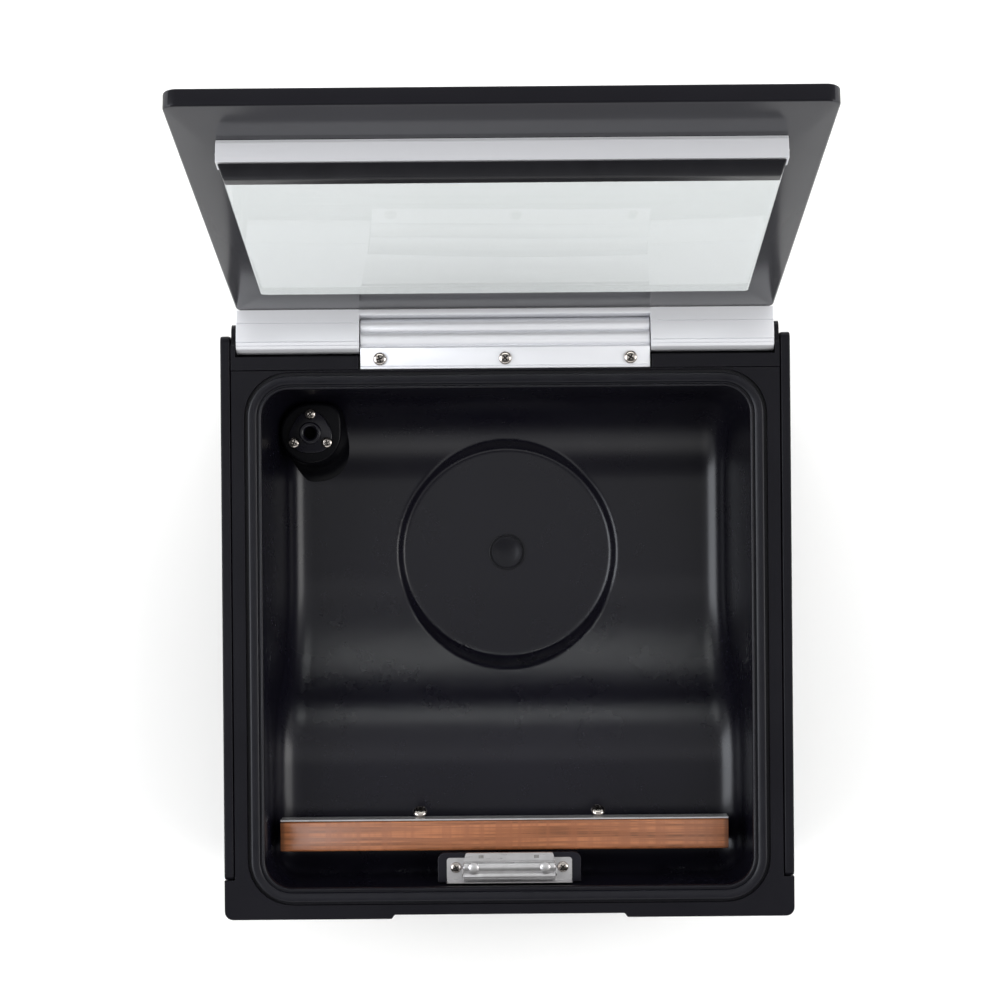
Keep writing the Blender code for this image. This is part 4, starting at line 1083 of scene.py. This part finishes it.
def lobed_port():
    """Vacuum fitting: a flange with a lobe at each screw, and a spout with a short bore whose depth is painted: a
    near-black disc of painted shade sits a little way down it.
    """
    low, high = box("port_fitting")
    cx, cy = (low.x + high.x) / 2, (low.y + high.y) / 2
    r = (high.x - low.x) / 2
    flange_top = low.z + PORT_FLANGE_T

    def flange(inset):
        points = []
        for i in range(96):
            a = math.tau * i / 96
            wave = 0.5 + 0.5 * math.cos(PORT_LOBES * (a - math.radians(90)))
            radius = r * (PORT_WAIST + (1 - PORT_WAIST) * wave ** 0.8) - inset
            points.append(Vector((cx + radius * math.cos(a), cy + radius * math.sin(a))))
        return points
    work = bmesh.new()
    loft(work, [(flange(0.0), low.z), (flange(0.0), flange_top - 0.0006),
                (flange(0.0002), flange_top - 0.0002), (flange(0.0006), flange_top)], False)
    foot = flange_top - 0.0005
    lathe(work, [(PORT_BORE, foot), (PORT_SPOUT, foot), (PORT_SPOUT, high.z - 0.0010),
                 (PORT_SPOUT - 0.0004, high.z - 0.0003), (PORT_SPOUT - 0.0010, high.z),
                 (PORT_BORE + 0.0016, high.z), (PORT_BORE + 0.0006, high.z - 0.0006),
                 (PORT_BORE, high.z - 0.0016)], (cx, cy, 0), steps=56)
    piece("port_flange", work, "cabinet", "satin_black", ("port_fitting",), 40,
          FINISHES["chamber_black"])

    # A near-black disc inside the bore: painted shade for its unlit depth.
    top, under = flange_top + 0.0002, flange_top - 0.0004
    work = bmesh.new()
    lathe(work, [(0.0, top), (PORT_BORE, top), (PORT_BORE, under), (0.0, under)],
          (cx, cy, 0), steps=32)
    piece("port_bore", work, "cabinet", "rubber", material=FINISHES["bore_shade_black"])


# -------- stage
def studio_world():
    """White walls all round, and overhead brightest in the middle and dimmest in front."""
    world = bpy.data.worlds.new("studio")
    bpy.context.scene.world = world
    world.use_nodes = True
    tree = world.node_tree
    coords = tree.nodes.new("ShaderNodeTexCoord")
    split = tree.nodes.new("ShaderNodeSeparateXYZ")
    tree.links.new(coords.outputs["Generated"], split.inputs[0])

    def fade(axis, start, end, kind="LINEAR"):
        node = tree.nodes.new("ShaderNodeMapRange")
        node.interpolation_type = kind
        node.inputs["From Min"].default_value = start
        node.inputs["From Max"].default_value = end
        tree.links.new(split.outputs[axis], node.inputs["Value"])
        return node.outputs["Result"]
    overhead = tree.nodes.new("ShaderNodeValToRGB")
    tree.links.new(fade("Y", -1, 1), overhead.inputs["Fac"])
    # How far back a place overhead is, from -1 to 1, and how bright it is there.
    stops = ((-0.20, 0.12), (0.0, 0.80), (0.08, 0.95), (0.28, 0.62), (0.75, 0.52))
    ramp = overhead.color_ramp
    while len(ramp.elements) < len(stops):
        ramp.elements.new(0.5)
    for element, (y, value) in zip(ramp.elements, stops):
        element.position = (y + 1) / 2
        element.color = (value, value, value, 1.0)
    height = fade("Z", 0.50, 0.90, "SMOOTHSTEP")
    mix = tree.nodes.new("ShaderNodeMix")
    mix.inputs["A"].default_value = 0.85
    tree.links.new(height, mix.inputs["Factor"])
    tree.links.new(overhead.outputs["Color"], mix.inputs["B"])
    background = tree.nodes["Background"]
    background.inputs["Color"].default_value = (0.97, 0.985, 1.0, 1.0)
    tree.links.new(mix.outputs["Result"], background.inputs["Strength"])


def stage():
    """White floor under the machine."""
    bpy.ops.mesh.primitive_plane_add(size=12, location=(0, 0, 0))
    floor = bpy.context.object
    floor.name = "floor"
    n = Nodes("floor", (0.93, 0.93, 0.93), 0.7)
    n.mottle((0.92, 0.92, 0.92), (0.94, 0.94, 0.94), 3, detail=3)
    floor.data.materials.append(n.material)


def lamps():
    """Cards that only shine in the finishes, and softboxes that only light them."""
    soft_white, cool = (1.0, 0.99, 0.97), (0.90, 0.94, 1.0)
    for name, place, size, energy, colour, unseen in (
        ("card_left", (-2.1, 0.0, 1.9), (1.8, 2.2), 58, cool, "diffuse"),
        ("card_front", (0.0, -2.3, 2.2), (2.6, 1.0), 6, soft_white, "diffuse"),
        ("card_right", (2.2, 0.0, 1.4), (1.0, 1.8), 22, soft_white, "diffuse"),
        ("softbox_left", (-1.9, -0.4, 2.2), (2.2, 2.6), 48, soft_white, "glossy"),
        ("softbox_right", (1.9, -0.2, 2.4), (2.2, 2.6), 54, soft_white, "glossy"),
        ("softbox_back", (0.0, 2.1, 2.3), (3.0, 1.6), 46, soft_white, "glossy"),
    ):
        data = bpy.data.lights.new(name, "AREA")
        data.shape = "RECTANGLE"
        data.size, data.size_y = size
        data.energy = energy
        data.color = colour
        lamp = bpy.data.objects.new(name, data)
        lamp.location = place
        aim = Vector((0, 0, 0.2)) - Vector(place)
        lamp.rotation_euler = aim.to_track_quat("-Z", "Y").to_euler()
        setattr(lamp, f"visible_{unseen}", False)
        lamp.visible_transmission = name == "softbox_back"
        bpy.context.scene.collection.objects.link(lamp)


def camera():
    """Straight down over the chamber, very slightly rolled."""
    above_deck, roll = 1.677, -0.48
    data = bpy.data.cameras.new("camera")
    data.sensor_width = 36
    data.lens = 95.6
    data.shift_x = -0.012
    cam = bpy.data.objects.new("camera", data)
    cam.location = (0.0036, 0.029, DECK_Z + above_deck)
    cam.rotation_euler = (0, 0, math.radians(roll))
    bpy.context.scene.collection.objects.link(cam)
    bpy.context.scene.camera = cam


# -------- build
camera()
stage()
studio_world()
lamps()
bpy.context.scene.view_settings.view_transform = "Standard"
finish_frame()
for width, nodes in SOFT_EDGES.items():
    for node in nodes:
        soften(node, width)
chamber_tub()
port_boss()
gasket()
well_plug()
hinge_bracket()
lid_hinge_profile()
lid_plate()
lid_pane()
lid_bar_channel()
silicone_strip()
taped_bar()
clip_plate()
clip_jaw()
clip_pads()
clip_rivets()
lobed_port()
for i in (1, 2, 3):
    phillips_screw(f"hinge_screw_head_{i}", f"hinge_screw_{i}", "cabinet", spin=20 * i, grow=1.12)
    phillips_screw(f"port_screw_head_{i}", f"port_screw_{i}", "cabinet", spin=35 * i, grow=1.22)
for i in (1, 2):
    phillips_screw(f"clip_screw_head_{i}", f"clip_screw_{i}", "cabinet", spin=25 * i, grow=1.08)
    phillips_screw(f"clamp_screw_head_{i}", f"clamp_screw_{i}", "seal_bar",
                   Matrix.Rotation(math.radians(-50), 4, "X"), 30 * i, grow=1.3)
